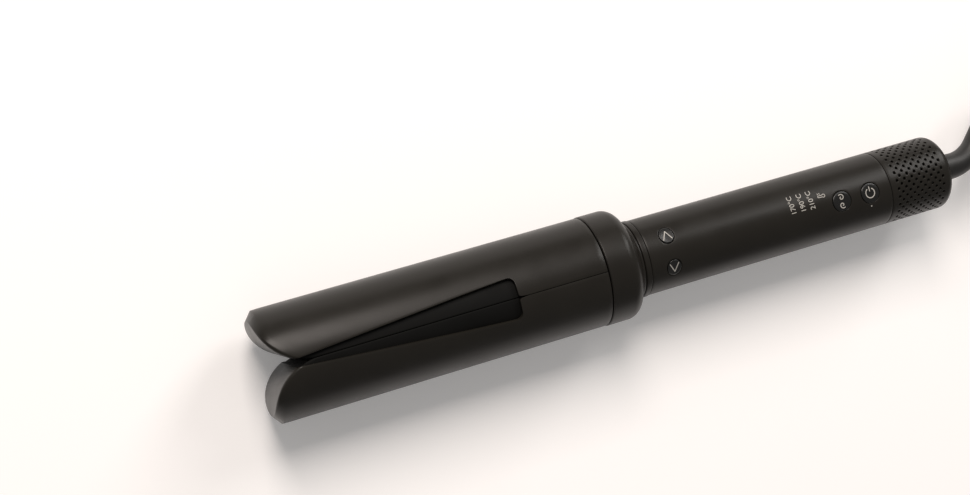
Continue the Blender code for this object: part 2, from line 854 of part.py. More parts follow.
def make_gears():
    half_tooth = math.pi / planet_teeth
    for number in range(planet_count):
        outline = gear_outline(planet_teeth, root_share, tip_share, tooth_share, half_tooth)
        bore = circle(planet_pin_radius + pin_gap, small_steps)
        flat_piece("planet_gear_" + str(number + 1), [outline, bore], gear_front_x, gear_rear_x,
                   "white_acetal", "X", planet_place(number))
    teeth = gear_outline(sun_teeth, root_share, tip_share, tooth_share, 0.0)
    sun = flat_piece("sun_pinion", [teeth], gear_front_x, gear_rear_x, "brass", "X")
    join(sun, rod("motor_shaft", motor_shaft_radius, (gear_rear_x - gear_width / 2, 0, 0),
                  (motor_front_x + motor_length / 2, 0, 0), None))
    spaces = gear_outline(ring_teeth, tip_share, root_share, 1 - tooth_share, math.pi / ring_teeth)
    rim = circle(ring_pitch_radius + root_share * gear_module + ring_rim, round_steps)
    flat_piece("ring_gear", [rim, spaces], gear_front_x, gear_rear_x + gap, "white_acetal", "X")


def make_motor():
    bore = motor_shaft_radius + gap
    turned("motor_plate", [(motor_plate_x, motor_boss_radius), (motor_plate_x, seat_radius),
                           (motor_plate_x + motor_plate_thickness, seat_radius),
                           (motor_plate_x + motor_plate_thickness, motor_boss_radius)], "steel")
    deep = motor_front_x + motor_length / 2 + gap
    edge = motor_boss_length / 2
    turned("motor_can", [(motor_front_x, bore), (motor_front_x, motor_radius - edge),
                         (motor_front_x + edge, motor_radius), (motor_rear_x - edge, motor_radius),
                         (motor_rear_x, motor_radius - edge), (motor_rear_x, motor_boss_radius),
                         (motor_rear_x + motor_boss_length, motor_boss_radius),
                         (motor_rear_x + motor_boss_length, 0), (deep, 0), (deep, bore)], "steel")


# Handle: neck ring, bearing, brushes, shells

def make_neck():
    lip_rear = neck_rear_x + lip_length
    lip_inner = seat_radius - lip_wall
    edge = collar_edge / 2
    turned("neck_ring",
           [(neck_front_x, bearing_radius + gap), (neck_front_x, handle_radius - edge),
            (neck_front_x + edge, handle_radius + edge), (neck_rear_x - edge, handle_radius + edge),
            (neck_rear_x, handle_radius), (neck_rear_x, seat_radius), (lip_rear, seat_radius),
            (lip_rear, lip_inner), (neck_rear_x, lip_inner), (neck_rear_x, bearing_radius + gap)],
           "black_shell", round_steps)
    turned("front_bearing", [(bearing_front_x, shaft_radius + gap), (bearing_front_x, bearing_radius),
                             (bearing_rear_x, bearing_radius),
                             (bearing_rear_x, shaft_radius + gap)], "brass")


def make_brush_block():
    """A comb whose two teeth reach up to the contact rings, standing on the lower shell."""
    middle = (rotor_front_x + rotor_rear_x) / 2
    top = -(ring_outer + gap)
    shoulder = top - brush_depth
    foot = -math.sqrt(seat_radius ** 2 - brush_half_width ** 2)
    outline = [(rotor_rear_x, foot), (rotor_rear_x, shoulder)]
    for step in (1, -1):
        centre = middle + step * ring_pitch / 2
        low, high = centre - contact_ring_width / 2, centre + contact_ring_width / 2
        outline += [(high, shoulder), (high, top), (low, top), (low, shoulder)]
    outline += [(rotor_front_x, shoulder), (rotor_front_x, foot)]
    flat_piece("brush_block", [outline], -brush_half_width, brush_half_width, "copper", "Y")


def handle_tube(name, front_x, rear_x, finish):
    return turned(name, [(front_x, handle_inner), (front_x, handle_radius),
                         (rear_x, handle_radius), (rear_x, handle_inner)], finish, round_steps)


def key_places():
    return [
        ("key_up", neck_front_x + direction_key_from_neck, direction_key_offset,
         direction_key_radius),
        ("key_down", neck_front_x + direction_key_from_neck, -direction_key_offset,
         direction_key_radius),
        ("mode_button", neck_front_x + handle_length * mode_key_share, 0.0, round_key_radius),
        ("power_button", neck_front_x + handle_length * power_key_share, 0.0, round_key_radius),
    ]


def make_handle_shells():
    reach = handle_radius + overrun
    for word, side in (("top", 1), ("bottom", -1)):
        shell = handle_tube("handle_shell_" + word, shell_front_x, shell_rear_x, "black_shell")
        low, high = sorted((side * gap / 2, side * reach))
        keep_inside(shell, block("half_" + word, (shell_front_x - overrun, -reach, low),
                                 (shell_rear_x + overrun, reach, high), None))
        boss_end = side * (handle_radius - handle_wall / 2)
        join(shell, rod("boss_" + word, boss_radius, (screw_x, 0, side * gap / 2),
                        (screw_x, 0, boss_end), None))
        if side > 0:
            for name, x, y, radius in key_places():
                cut(shell, rod(name + "_hole", radius + gap, (x, y, handle_inner / 2),
                               (x, y, reach), None, inner_steps))
            cut(shell, rod("thread_hole", screw_radius + gap, (screw_x, 0, -overrun),
                           (screw_x, 0, screw_thread + gap), None))
        else:
            cut(shell, rod("screw_hole", screw_radius + gap, (screw_x, 0, -reach),
                           (screw_x, 0, overrun), None))
            cut(shell, rod("screw_recess", screw_head_radius + gap, (screw_x, 0, -reach),
                           (screw_x, 0, -boss_seat_depth), None))


def make_shell_screw():
    seat = -boss_seat_depth - gap
    head = seat - screw_head_height
    turned("shell_screw", [(head, 0), (head, screw_head_radius), (seat, screw_head_radius),
                           (seat, screw_radius), (screw_thread, screw_radius), (screw_thread, 0)],
           "steel", small_steps, "Z", (screw_x, 0, axis_z))


def surface_bar(name, x, half_length):
    """A bar whose side is the handle's surface, a little proud, to shape the keys' tops."""
    return rod(name, handle_radius + key_proud, (x - half_length, 0, 0), (x + half_length, 0, 0),
               None, round_steps)


def make_keys():
    board_top = control_board_height + board_thickness + gap + switch_height
    small_top = key_board_height + board_thickness + gap + switch_height
    for name, x, y, radius in key_places():
        direction = y != 0
        reach = handle_radius + overrun
        if direction:
            foot = small_top + direction_key_travel + key_slack
            outline = [(foot, 0), (foot, radius), (reach, radius), (reach, 0)]
        else:
            foot = board_top + key_travel + key_slack
            wide = radius + key_flange
            flange_top = math.sqrt(handle_inner ** 2 - wide ** 2) - gap
            flange_low = flange_top - key_flange_thickness
            outline = [(foot, 0), (foot, key_stem_radius), (flange_low, key_stem_radius),
                       (flange_low, wide), (flange_top, wide), (flange_top, radius),
                       (reach, radius), (reach, 0)]
        key = turned(name, outline, "black_key", inner_steps, "Z", (x, y, axis_z))
        keep_inside(key, surface_bar(name + "_top", x, radius * 2))
        top = small_top if direction else board_top
        block("switch_" + name.split("_")[1 if direction else 0],
              (x - switch_half, y - switch_half, top - switch_height),
              (x + switch_half, y + switch_half, top), "white_acetal")


def board(name, front, rear, low, seat_z, finish="board_green"):
    half = math.sqrt(seat_radius ** 2 - seat_z ** 2)
    return block(name, (front, -half, low), (rear, half, low + board_thickness), finish)


def make_boards():
    board("key_board", neck_front_x + key_board_front, neck_front_x + key_board_rear,
          key_board_height, key_board_height + board_thickness)
    board("control_board", board_front_x, board_rear_x, control_board_height,
          control_board_height + board_thickness)
    low = -power_board_depth
    power = board("power_board", board_front_x, board_rear_x, low, low)
    top = low + board_thickness
    can_front = board_front_x + capacitor_from_front
    can_z = top + capacitor_radius - board_thickness / 2
    join(power, rod("capacitor", capacitor_radius, (can_front, 0, can_z),
                    (can_front + capacitor_length, 0, can_z), None))
    choke_x = board_rear_x - choke_from_rear
    join(power, block("choke", (choke_x, -choke_size / 2, top - board_thickness / 2),
                      (choke_x + choke_size, choke_size / 2, top + choke_height), None))
    guide_low = control_board_height + board_thickness + gap
    guide_x = neck_front_x + handle_length * marks_share
    block("light_guide", (guide_x - marks_half_width, marks_offset - marks_half_width, guide_low),
          (guide_x + marks_length, marks_offset + marks_half_width, guide_low + marks_depth),
          "clear_lens")


# Tail: cap, fan, swivel

def ellipse_corner(centre_x, centre_r, along, across, steps):
    turns = [math.pi / 2 * i / steps for i in range(steps + 1)]
    return [(centre_x + along * math.sin(a), centre_r + across * math.cos(a)) for a in turns]


def make_tail_cap():
    lip_inner = seat_radius - lip_wall
    lip_front = cap_front_x - lip_length
    outside = [(cap_front_x, handle_radius)]
    outside += ellipse_corner(tail_x - cap_corner_length, cap_flat_radius, cap_corner_length,
                              handle_radius - cap_flat_radius, arc_steps)
    end = tail_x - cap_end_wall
    inner_corner = ellipse_corner(tail_x - cap_corner_length, cap_flat_radius,
                                  cap_corner_length - cap_end_wall,
                                  handle_inner - cap_flat_radius, arc_steps - 2)
    step_x = cap_front_x + lip_wall
    inside = [(tail_x, cap_hole_radius), (end, cap_hole_radius)] + inner_corner[::-1]
    inside += [(step_x, handle_inner), (step_x, lip_inner), (lip_front, lip_inner),
               (lip_front, seat_radius), (cap_front_x, seat_radius)]
    cap = turned("tail_cap", outside + inside, "black_shell", round_steps)
    cut(cap, make_hole_cutter())
    return cap


def make_hole_cutter():
    """Staggered rows of small holes through the cap's wall, as one group of six-sided pegs."""
    shape = bmesh.new()
    inner, outer = handle_inner - handle_wall, handle_radius + handle_wall
    for column in range(hole_columns):
        x = cap_front_x + holes_from_front + hole_pitch * (column + 1 / 2)
        for row in range(hole_rows):
            angle = 2 * math.pi * (row + (column % 2) / 2) / hole_rows
            turn = Matrix.Rotation(angle, 4, "X")
            place = Matrix.Translation((x, 0, 0)) @ turn @ Matrix.Translation(
                (0, 0, (inner + outer) / 2))
            bmesh.ops.create_cone(shape, cap_ends=True, segments=6, radius1=hole_radius,
                                  radius2=hole_radius, depth=outer - inner, matrix=place)
    mesh = bpy.data.meshes.new("cap_holes")
    shape.to_mesh(mesh)
    shape.free()
    thing = bpy.data.objects.new("cap_holes", mesh)
    thing.location = (0, 0, axis_z)
    return adopt(thing, cutters)


def make_fan():
    front = cap_front_x + fan_from_front
    rear = front + fan_length
    inner = seat_radius - fan_rim
    frame = turned("fan_frame", [(front, inner), (front, seat_radius), (rear, seat_radius),
                                 (rear, inner)], "glass_filled_nylon")
    hub_front = rear - strut_thickness
    hub = turned("fan_hub_seat", [(hub_front, 0), (hub_front, fan_hub_radius),
                                  (rear, fan_hub_radius), (rear, 0)], None)
    join(frame, hub)
    for number in range(planet_count):
        angle = 2 * math.pi * number / planet_count
        strut = block("fan_strut_" + str(number + 1), (hub_front, -strut_width / 2, 0),
                      (rear, strut_width / 2, inner + fan_rim / 2), None)
        # Moving the block's points keeps its turn about the fan's own axis.
        centre = Vector((0, 0, axis_z))
        turn = Matrix.Translation(centre) @ Matrix.Rotation(angle, 4, "X")
        strut.matrix_world = turn @ Matrix.Translation(-centre) @ strut.matrix_world
        join(frame, strut)
    rotor_rear = hub_front - gap
    rotor = turned("fan_rotor", [(front + gap, 0), (front + gap, fan_hub_radius),
                                 (rotor_rear, fan_hub_radius), (rotor_rear, 0)],
                   "glass_filled_nylon")
    blade_x = (front + rotor_rear) / 2
    blade_low, blade_high = fan_hub_radius / 2, inner - fan_tip_gap
    for number in range(fan_blades):
        blade = block("blade_" + str(number + 1),
                      (-blade_thickness / 2, -blade_width / 2, blade_low - axis_z),
                      (blade_thickness / 2, blade_width / 2, blade_high - axis_z), None)
        place = Matrix.Translation((blade_x, 0, axis_z))
        spin = Matrix.Rotation(2 * math.pi * number / fan_blades, 4, "X")
        lean = Matrix.Rotation(blade_pitch, 4, "Z")
        blade.matrix_world = place @ spin @ lean @ blade.matrix_world
        join(rotor, blade)


def make_swivel_socket():
    rear = tail_x - cap_end_wall - gap - gap
    pocket_front = rear - flange_length
    front = pocket_front - socket_web
    inner = flange_radius + gap
    turned("swivel_socket", [(front, socket_bore), (front, inner + socket_rim),
                             (rear, inner + socket_rim), (rear, inner), (pocket_front, inner),
                             (pocket_front, socket_bore)], "glass_filled_nylon")


def make_handle():
    make_neck()
    make_brush_block()
    make_handle_shells()
    make_shell_screw()
    make_keys()
    make_boards()
    make_tail_cap()
    make_fan()
    make_swivel_socket()


# Mains lead

def relief_path():
    """The strain relief's centre line outside the cap: straight, bent sideways, straight again."""
    start = tail_x + gap
    bend_x = start + relief_straight
    points = [Vector((start, 0, axis_z)), Vector((bend_x, 0, axis_z))]
    for i in range(1, relief_points + 1):
        a = relief_turn * i / relief_points
        points.append(Vector((bend_x + relief_bend * math.sin(a),
                              relief_bend * (1 - math.cos(a)), axis_z)))
    way = Vector((math.cos(relief_turn), math.sin(relief_turn), 0))
    points.append(points[-1] + way * relief_tail / 2)
    points.append(points[-1] + way * relief_tail / 2)
    return points


def make_strain_relief():
    path = relief_path()
    lengths = [0.0]
    for a, b in zip(path, path[1:]):
        lengths.append(lengths[-1] + (b - a).length)
    end_share = relief_end_radius / relief_radius
    tapers = [1 - (1 - end_share) * walked / lengths[-1] for walked in lengths]
    boot = meshed(tube("strain_relief", path, relief_radius, None, 3, tapers), "black_rubber")
    flange_rear = tail_x - cap_end_wall - gap - gap
    flange_front = flange_rear - flange_length + gap
    inner = turned("relief_core", [(flange_front, 0), (flange_front, flange_radius),
                                   (flange_rear, flange_radius), (flange_rear, relief_neck_radius),
                                   (tail_x + relief_straight / 2, relief_neck_radius),
                                   (tail_x + relief_straight / 2, 0)], None, inner_steps)
    join(boot, inner)


def hank_place(turn):
    """A point of the hank. Turns are counted from the middle of its first run."""
    past = max(-turn, turn - hank_layers)
    inward = abs((turn + 1) % 2 - 1)
    radius = hank_outer + hank_lay * (past if past > 0 else -inward)
    z = hank_top_z
    for change in range(1, hank_layers):
        climb = min(max((turn - change) / run_share + 1 / 2, 0), 1)
        z -= cord_lay * climb * climb * (3 - 2 * climb)
    share = (turn + run_share / 2) % 1
    side = 1 if share < 1 / 2 else -1
    share = share % (1 / 2)
    if share < run_share:
        along = hank_run * (share / run_share - 1 / 2)
        drawn_in = hank_waist * (1 + math.cos(2 * math.pi * along / hank_run)) / 2
        return Vector((hank_x + side * along, hank_y + side * (radius - drawn_in), z))
    angle = math.pi / 2 - math.pi * (share - run_share) / fold_share
    return Vector((hank_x + side * (hank_run / 2 + radius * math.cos(angle)),
                   hank_y + side * radius * math.sin(angle), z))


def hank_path():
    """The hank's centre line: long loops that spiral in and out again, going down layer by layer."""
    turns = []
    for half in range(2 * hank_layers + 1):
        start = half / 2 - run_share / 2
        turns += [start + run_share * i / run_steps for i in range(run_steps)]
        turns += [start + run_share + fold_share * i / fold_steps for i in range(fold_steps)]
    points = [hank_place(turn) for turn in turns[:1 - fold_steps]]
    way = Vector((2 * cord_radius, 0, 0))
    return [points[0] - way] + points + [points[-1] + way]


def least_gap(points):
    """The least gap between stretches of the hank that aren't neighbours along it."""
    fine = smooth_path(points, cord_radius)
    skip = round(math.pi * hank_fold / cord_radius)
    best = min((a - b).length for i, a in enumerate(fine) for b in fine[i + skip:])
    return best - 2 * cord_radius


def make_tie():
    """A flat strap looped round the waist of the hank."""
    near = hank_waist - hank_middle - cord_radius - tie_slack
    far = hank_outer - hank_waist + cord_radius + tie_slack
    top = hank_top_z + cord_radius + gap
    low = cord_lift - gap
    frame = [(near - tie_thickness, low - tie_thickness), (far + tie_thickness, low - tie_thickness),
             (far + tie_thickness, top + tie_thickness), (near - tie_thickness, top + tie_thickness)]
    window = [(near, low), (far, low), (far, top), (near, top)]
    curve_points = [[(u, v - axis_z) for u, v in ring] for ring in (frame, window)]
    tie = flat_piece("cord_tie", curve_points, -tie_width / 2, tie_width / 2, "black_rubber", "Y")
    place = Matrix.Translation((hank_x, hank_y, 0)) @ Matrix.Rotation(math.pi / 2, 4, "Z")
    tie.matrix_world = place @ tie.matrix_world


def make_plug():
    """A flat two-prong plug that lies on its broad side."""
    neck = plug_length / 3
    outline = [(0, -plug_neck_half), (neck, -plug_half_width), (plug_length, -plug_half_width),
               (plug_length, plug_half_width), (neck, plug_half_width), (0, plug_neck_half)]
    lift = plug_half_height - axis_z
    body = flat_piece("plug_body", [outline], lift - plug_half_height, lift + plug_half_height,
                      "black_rubber")
    place = Matrix.Translation((plug_x, plug_y, 0))
    body.matrix_world = place @ body.matrix_world
    for number, step in ((1, -1), (2, 1)):
        y = step * prong_spacing / 2
        prong = rod("plug_prong_" + str(number), prong_radius, (plug_length + gap, y, lift),
                    (plug_length + prong_length, y, lift), "brass")
        prong.matrix_world = place @ prong.matrix_world


def leaving(end, before):
    """Two points that run straight on past a tube's end, the first at the usual gap."""
    way = (end - before).normalized()
    return [end + way * gap, end + way * 2 * cord_radius]


def make_lead():
    make_strain_relief()
    boot = relief_path()
    hank = hank_path()
    spacing = point_every * 2 * cord_radius
    run = leaving(boot[-1], boot[-2]) + run_points + leaving(hank[0], hank[1])[::-1]
    tube("cord_run", smooth_path(run, spacing), cord_radius, "black_rubber", 2)
    tube("cord_hank", hank, cord_radius, "black_rubber", 1)
    print("hank: least gap to itself", round(least_gap(hank), 5), "m")
    plug_end = Vector((plug_x, plug_y, plug_half_height))
    inside = plug_end + Vector((gap, 0, 0))
    end = leaving(hank[-1], hank[-2]) + end_points + leaving(plug_end, inside)[::-1]
    tube("cord_end", smooth_path(end, spacing), cord_radius, "black_rubber", 2)
    make_tie()
    make_plug()


clear_scene()
parts = new_collection("automatic_hair_curler")
cutters = new_collection("cutters")
make_jaws()
make_head()
make_gears()
make_motor()
make_handle()
make_lead()
print("parts:", len(parts.objects))
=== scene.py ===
# Looks of an automatic hair curler: finer shells, keys, prints, cord and finishes round its fixed frame.
# Forms are laid out in millimetres, x along the barrel's axis, and turned into metres as they are made.
import json
import math

import bmesh
import bpy
import numpy as np
from mathutils import Matrix, Vector


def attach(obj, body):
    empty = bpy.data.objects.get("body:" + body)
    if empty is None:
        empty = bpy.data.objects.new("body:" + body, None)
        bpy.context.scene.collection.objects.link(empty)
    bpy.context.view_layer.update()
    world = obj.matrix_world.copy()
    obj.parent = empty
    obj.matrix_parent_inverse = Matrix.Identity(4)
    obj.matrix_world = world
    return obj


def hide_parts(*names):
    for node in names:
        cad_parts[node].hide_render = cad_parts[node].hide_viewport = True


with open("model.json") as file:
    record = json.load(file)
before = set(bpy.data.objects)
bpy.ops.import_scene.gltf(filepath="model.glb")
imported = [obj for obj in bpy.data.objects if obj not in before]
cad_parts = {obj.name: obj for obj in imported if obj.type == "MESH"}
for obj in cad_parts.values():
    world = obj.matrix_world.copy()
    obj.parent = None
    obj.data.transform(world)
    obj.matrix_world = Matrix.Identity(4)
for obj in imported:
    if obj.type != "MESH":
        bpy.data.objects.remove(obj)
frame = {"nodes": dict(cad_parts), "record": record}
scene = bpy.context.scene
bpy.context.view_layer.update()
mm = 0.001
# The barrel's axis lies axisZ above the floor, and the jaws end at frontX
axisZ = 25.3
frontX = -168.0
barrelRadius = 25.0
handleRadius = 17.5
print("frame loaded")


# Small tools for forms

def arc(centre, radius, start, end, steps):
    angles = np.radians(np.linspace(start, end, steps + 1))
    return [(centre[0] + radius * math.cos(a), centre[1] + radius * math.sin(a)) for a in angles]


# Points of a line at the given shares of its length.
def resample(points, shares):
    points = np.array(points, float)
    steps = np.linalg.norm(np.diff(points, axis=0), axis=1)
    walked = np.concatenate([[0], np.cumsum(steps)])
    targets = np.array(shares) * walked[-1]
    return np.stack([np.interp(targets, walked, points[:, k]) for k in range(points.shape[1])], axis=1)


# A closed outline with its corners rounded. Each corner is (x, y, radius).
def rounded(corners, steps=6):
    out = []
    for i, (x, y, radius) in enumerate(corners):
        here = Vector((x, y))
        back = Vector(corners[i - 1][:2]) - here
        on = Vector(corners[(i + 1) % len(corners)][:2]) - here
        if not radius:
            out.append((x, y))
            continue
        half = back.angle(on) / 2
        reach = radius / math.tan(half)
        middle = here + (back.normalized() + on.normalized()).normalized() * radius / math.sin(half)
        first = here + back.normalized() * reach - middle
        turn = (here + on.normalized() * reach - middle).angle_signed(first)
        for k in range(steps + 1):
            spoke = Matrix.Rotation(turn * k / steps, 2) @ first
            out.append(tuple(middle + spoke))
    return out


# Makes a piece from a mesh laid out in millimetres. Outward says which way a sheet's faces look.
def newPiece(name, shape, body, finish, cad=(), sharp=38, outward=None):
    bmesh.ops.remove_doubles(shape, verts=shape.verts, dist=0.002)
    bmesh.ops.recalc_face_normals(shape, faces=shape.faces)
    if outward:
        away = sum((f.normal.dot(outward(f.calc_center_median())) * f.calc_area() for f in shape.faces))
        if away < 0:
            bmesh.ops.reverse_faces(shape, faces=shape.faces)
    bmesh.ops.scale(shape, vec=(mm, mm, mm), verts=shape.verts)
    mesh = bpy.data.meshes.new(name)
    shape.to_mesh(mesh)
    shape.free()
    mesh.shade_smooth()
    mesh.set_sharp_from_angle(angle=math.radians(sharp))
    mesh.materials.append(finish)
    thing = bpy.data.objects.new(name, mesh)
    scene.collection.objects.link(thing)
    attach(thing, body)
    if cad:
        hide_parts(*cad)
    return thing


def fromAxis(point):
    return Vector((0, point.y, point.z - axisZ))


# Joins rows of points into four-sided faces.
def gridFaces(shape, rows, closed=False):
    verts = [[shape.verts.new(p) for p in row] for row in rows]
    for a, b in zip(verts, verts[1:] + verts[:1] if closed else verts[1:]):
        for i in range(len(a) - 1):
            shape.faces.new((a[i], a[i + 1], b[i + 1], b[i]))
    return verts


# A closed outline of (x, radius) points turned round the barrel's axis.
def spun(outline, steps=120):
    shape = bmesh.new()
    verts = [shape.verts.new((x, 0, axisZ + r)) for x, r in outline]
    edges = [shape.edges.new((a, b)) for a, b in zip(verts, verts[1:] + verts[:1])]
    bmesh.ops.spin(shape, geom=verts + edges, cent=(0, 0, axisZ), axis=(1, 0, 0), angle=math.tau,
                   steps=steps, use_merge=True)
    return shape


def closeEnds(shape):
    bmesh.ops.remove_doubles(shape, verts=shape.verts, dist=0.0005)
    bmesh.ops.holes_fill(shape, edges=[e for e in shape.edges if e.is_boundary], sides=0)


# A solid along a path. Each section is a closed list of (side, up) points in its own plane.
def swept(path, sections):
    path = [Vector(p) for p in path]
    ways = [(b - a).normalized() for a, b in zip(path, path[1:])]
    ways = [ways[0]] + [(a + b).normalized() for a, b in zip(ways, ways[1:])] + [ways[-1]]
    shape = bmesh.new()
    rows = []
    for place, way, section in zip(path, ways, sections):
        side = Vector((0, 0, 1)).cross(way).normalized()
        up = way.cross(side)
        row = [place + side * u + up * v for u, v in section]
        rows.append(row + row[:1])
    gridFaces(shape, rows)
    closeEnds(shape)
    return shape


def ring(radius, sides=40):
    return [(radius * math.cos(math.tau * i / sides), radius * math.sin(math.tau * i / sides))
            for i in range(sides)]


# Close to a thinned place a wall narrows to this share of its thickness, over the given distances
thinning = {"share": 0.02, "from": 1.5, "over": 7.0}


# Thickens a sheet inwards and rounds its rims. Lengths are in millimetres.
def addWall(thing, thickness, rim, even=True, thinAt=()):
    wall = thing.modifiers.new("wall", "SOLIDIFY")
    wall.thickness = thickness * mm
    wall.offset = -1
    wall.use_even_offset = even
    if thinAt:
        group = thing.vertex_groups.new(name="wall")
        for vertex in thing.data.vertices:
            near = min((vertex.co / mm - Vector(place)).length for place in thinAt)
            share = (near - thinning["from"]) / thinning["over"]
            group.add([vertex.index], min(1.0, max(thinning["share"], share)), "REPLACE")
        wall.vertex_group = "wall"
        wall.thickness_vertex_group = thinning["share"]
    edge = thing.modifiers.new("rim", "BEVEL")
    edge.width = rim * mm
    edge.segments = 2
    edge.limit_method = "ANGLE"
    edge.angle_limit = math.radians(60)
    return thing


# Materials

def linear(code):
    parts = [int(code[i:i + 2], 16) / 255 for i in (0, 2, 4)]
    return [p / 12.92 if p <= 0.04045 else ((p + 0.055) / 1.055) ** 2.4 for p in parts] + [1.0]


# Adds a node. An input's value is a number, a colour or another node's socket.
def add(tree, kind, inputs=None, **settings):
    node = tree.nodes.new(kind)
    for key, value in settings.items():
        setattr(node, key, value)
    for key, value in (inputs or {}).items():
        if isinstance(value, bpy.types.NodeSocket):
            tree.links.new(value, node.inputs[key])
        else:
            node.inputs[key].default_value = value
    return node


# Carries a pattern's middle range over to the values from low to high.
def ranged(tree, value, low, high, start=0.3, stop=0.7):
    return add(tree, "ShaderNodeMapRange", {"Value": value, "From Min": start, "From Max": stop,
                                            "To Min": low, "To Max": high}).outputs[0]


# A procedural material. Grain and patch are the sizes in millimetres of its fine and broad patterns,
# depth the height in millimetres of the fine one, and spread how far the roughness wanders.
def finish(name, colour, rough, second, grain, depth, metallic=0.0, spread=0.08, streak=None,
           patch=18.0, speckle=0.0, ior=1.5, cells=False):
    material = bpy.data.materials.new(name)
    material.use_nodes = True
    tree = material.node_tree
    tree.nodes.clear()
    place = add(tree, "ShaderNodeTexCoord").outputs["Object"]
    fineFrom = place
    if streak:
        fineFrom = add(tree, "ShaderNodeMapping", {"Vector": place, "Scale": streak}).outputs["Vector"]
    fine = add(tree, "ShaderNodeTexNoise", {"Vector": fineFrom, "Scale": 1000 / grain, "Detail": 3.0,
                                            "Roughness": 0.6}).outputs["Fac"]
    height = fine
    if cells:
        spark = add(tree, "ShaderNodeTexVoronoi", {"Vector": place, "Scale": 1000 / grain / 1.3,
                                                   "Randomness": 1.0}, feature="SMOOTH_F1")
        height = add(tree, "ShaderNodeMath", {0: fine, 1: spark.outputs["Distance"]},
                     operation="ADD").outputs[0]
    broad = add(tree, "ShaderNodeTexNoise", {"Vector": place, "Scale": 1000 / patch, "Detail": 4.0,
                                             "Roughness": 0.55}).outputs["Fac"]
    roughness = add(tree, "ShaderNodeMath", {0: ranged(tree, broad, rough - spread, rough + spread),
                                             1: ranged(tree, fine, -spread / 2, spread / 2)},
                    operation="ADD", use_clamp=True)
    # sockets 6 and 7 of a Mix node are its two colours, and output 2 the mixed one
    base = add(tree, "ShaderNodeMix", {"Factor": broad, 6: linear(colour), 7: linear(second)},
               data_type="RGBA").outputs[2]
    if speckle:
        dots = add(tree, "ShaderNodeTexVoronoi", {"Vector": place, "Scale": 1000 / (grain * 2.5)})
        mask = ranged(tree, dots.outputs["Distance"], speckle, 0.0, 0.12, 0.2)
        base = add(tree, "ShaderNodeMix", {"Factor": mask, 6: base, 7: linear("C8C4BC")},
                   data_type="RGBA").outputs[2]
    bump = add(tree, "ShaderNodeBump", {"Height": height, "Strength": 0.6, "Distance": depth * mm})
    shader = add(tree, "ShaderNodeBsdfPrincipled", {"Base Color": base, "Metallic": metallic, "IOR": ior,
                                                    "Roughness": roughness.outputs[0],
                                                    "Normal": bump.outputs["Normal"]})
    add(tree, "ShaderNodeOutputMaterial", {"Surface": shader.outputs[0]})
    return material


# Satin moulded ABS with a fine spark-eroded grain, warm black as on the photographed shells
shellBlack = finish("satin_black_ABS", "1D1B18", 0.33, grain=0.35, depth=0.01, second="22201C",
                    spread=0.04, cells=True, ior=1.29)
# Heat-proof PPS of the inner jaws: matt, nearly pure black
linerBlack = finish("matt_black_PPS", "090908", 0.62, grain=0.3, depth=0.02, second="0E0E0D", spread=0.06,
                    ior=1.2)
# Keys are the shells' plastic, polished a little more; their base colour is painted darker than the shell's
# as painted shade of their dished tops
keyPaintedShadeBlack = finish("key_black_ABS_painted_shade", "0F0F0E", 0.28, grain=0.3, depth=0.006, second="141413", spread=0.04)
# Soft PVC of the mains cord, its boot and plug
cordBlack = finish("cord_black_PVC", "141413", 0.46, grain=0.25, depth=0.012, second="1A1918", spread=0.07)
# Glass-filled nylon of the chassis: grey-black with short pale fibres
nylon = finish("glass_filled_nylon", "232426", 0.6, grain=0.3, depth=0.03, second="2C2D2F",
               streak=(1, 1, 0.2), speckle=0.25)
# White acetal of the gears and switches
acetal = finish("white_acetal", "D9D7CE", 0.42, grain=0.5, depth=0.008, second="E2E0D8", spread=0.05)
# Heater plates: aluminium with a dark ceramic-filled coating
plateCoat = finish("coated_aluminium", "2A2724", 0.3, metallic=0.35, grain=0.25, depth=0.004,
                   second="322E2A", spread=0.05, speckle=0.12)
# Turned and rolled steel with drawing lines along the axis
steel = finish("drawn_steel", "A9ABAE", 0.3, metallic=1.0, grain=0.3, depth=0.004, second="B6B7B9",
               streak=(0.06, 1, 1))
# Brass of the bearing and the plug's pins
brass = finish("turned_brass", "B9995A", 0.28, metallic=1.0, grain=0.3, depth=0.003, second="AB8A4C",
               streak=(0.08, 1, 1))
# Copper of the contact rings and brushes
copper = finish("worn_copper", "B5734E", 0.3, metallic=1.0, grain=0.3, depth=0.004, second="A4623F",
                streak=(1, 0.08, 0.08), spread=0.1)
# Glass-epoxy boards under green solder mask
boardGreen = finish("green_solder_mask", "1E4A2C", 0.35, grain=0.6, depth=0.03, second="255735",
                    patch=3.0)
# Clear polycarbonate of the light guide
clearLens = finish("clear_polycarbonate", "D5D8DA", 0.16, grain=0.6, depth=0.004, second="DCDFE2",
                   spread=0.04, ior=1.58)
# Alumina of the heater elements
ceramic = finish("alumina_ceramic", "DAD2C2", 0.55, grain=0.4, depth=0.01, second="CFC6B4", spread=0.06)
# Pad-printed warm-white ink of the marks
ink = finish("pale_print_ink", "B2AFA8", 0.5, grain=0.2, depth=0.006, second="A9A69F", spread=0.05,
             patch=2.0)
slotFinish = {
    "black_shell": shellBlack, "black_liner": linerBlack, "black_key": keyPaintedShadeBlack,
    "black_rubber": cordBlack, "glass_filled_nylon": nylon, "white_acetal": acetal,
    "coated_aluminium": plateCoat, "steel": steel, "brass": brass, "copper": copper,
    "board_green": boardGreen, "clear_lens": clearLens, "ceramic": ceramic,
}
print("materials made")


# Camera at the photograph's angle

def placeCamera():
    data = bpy.data.cameras.new("photo_camera")
    data.lens = 56.99
    data.sensor_width = 36
    data.dof.use_dof = False
    data.clip_start = 0.01
    camera = bpy.data.objects.new("photo_camera", data)
    camera.location = (-0.23801, 0.0534, 0.67654)
    camera.rotation_euler = [math.radians(a) for a in (1.674, -15.517, -15.708)]
    scene.collection.objects.link(camera)
    scene.camera = camera


placeCamera()


# Mains cord: boot, free cord with its hank, strap and plug

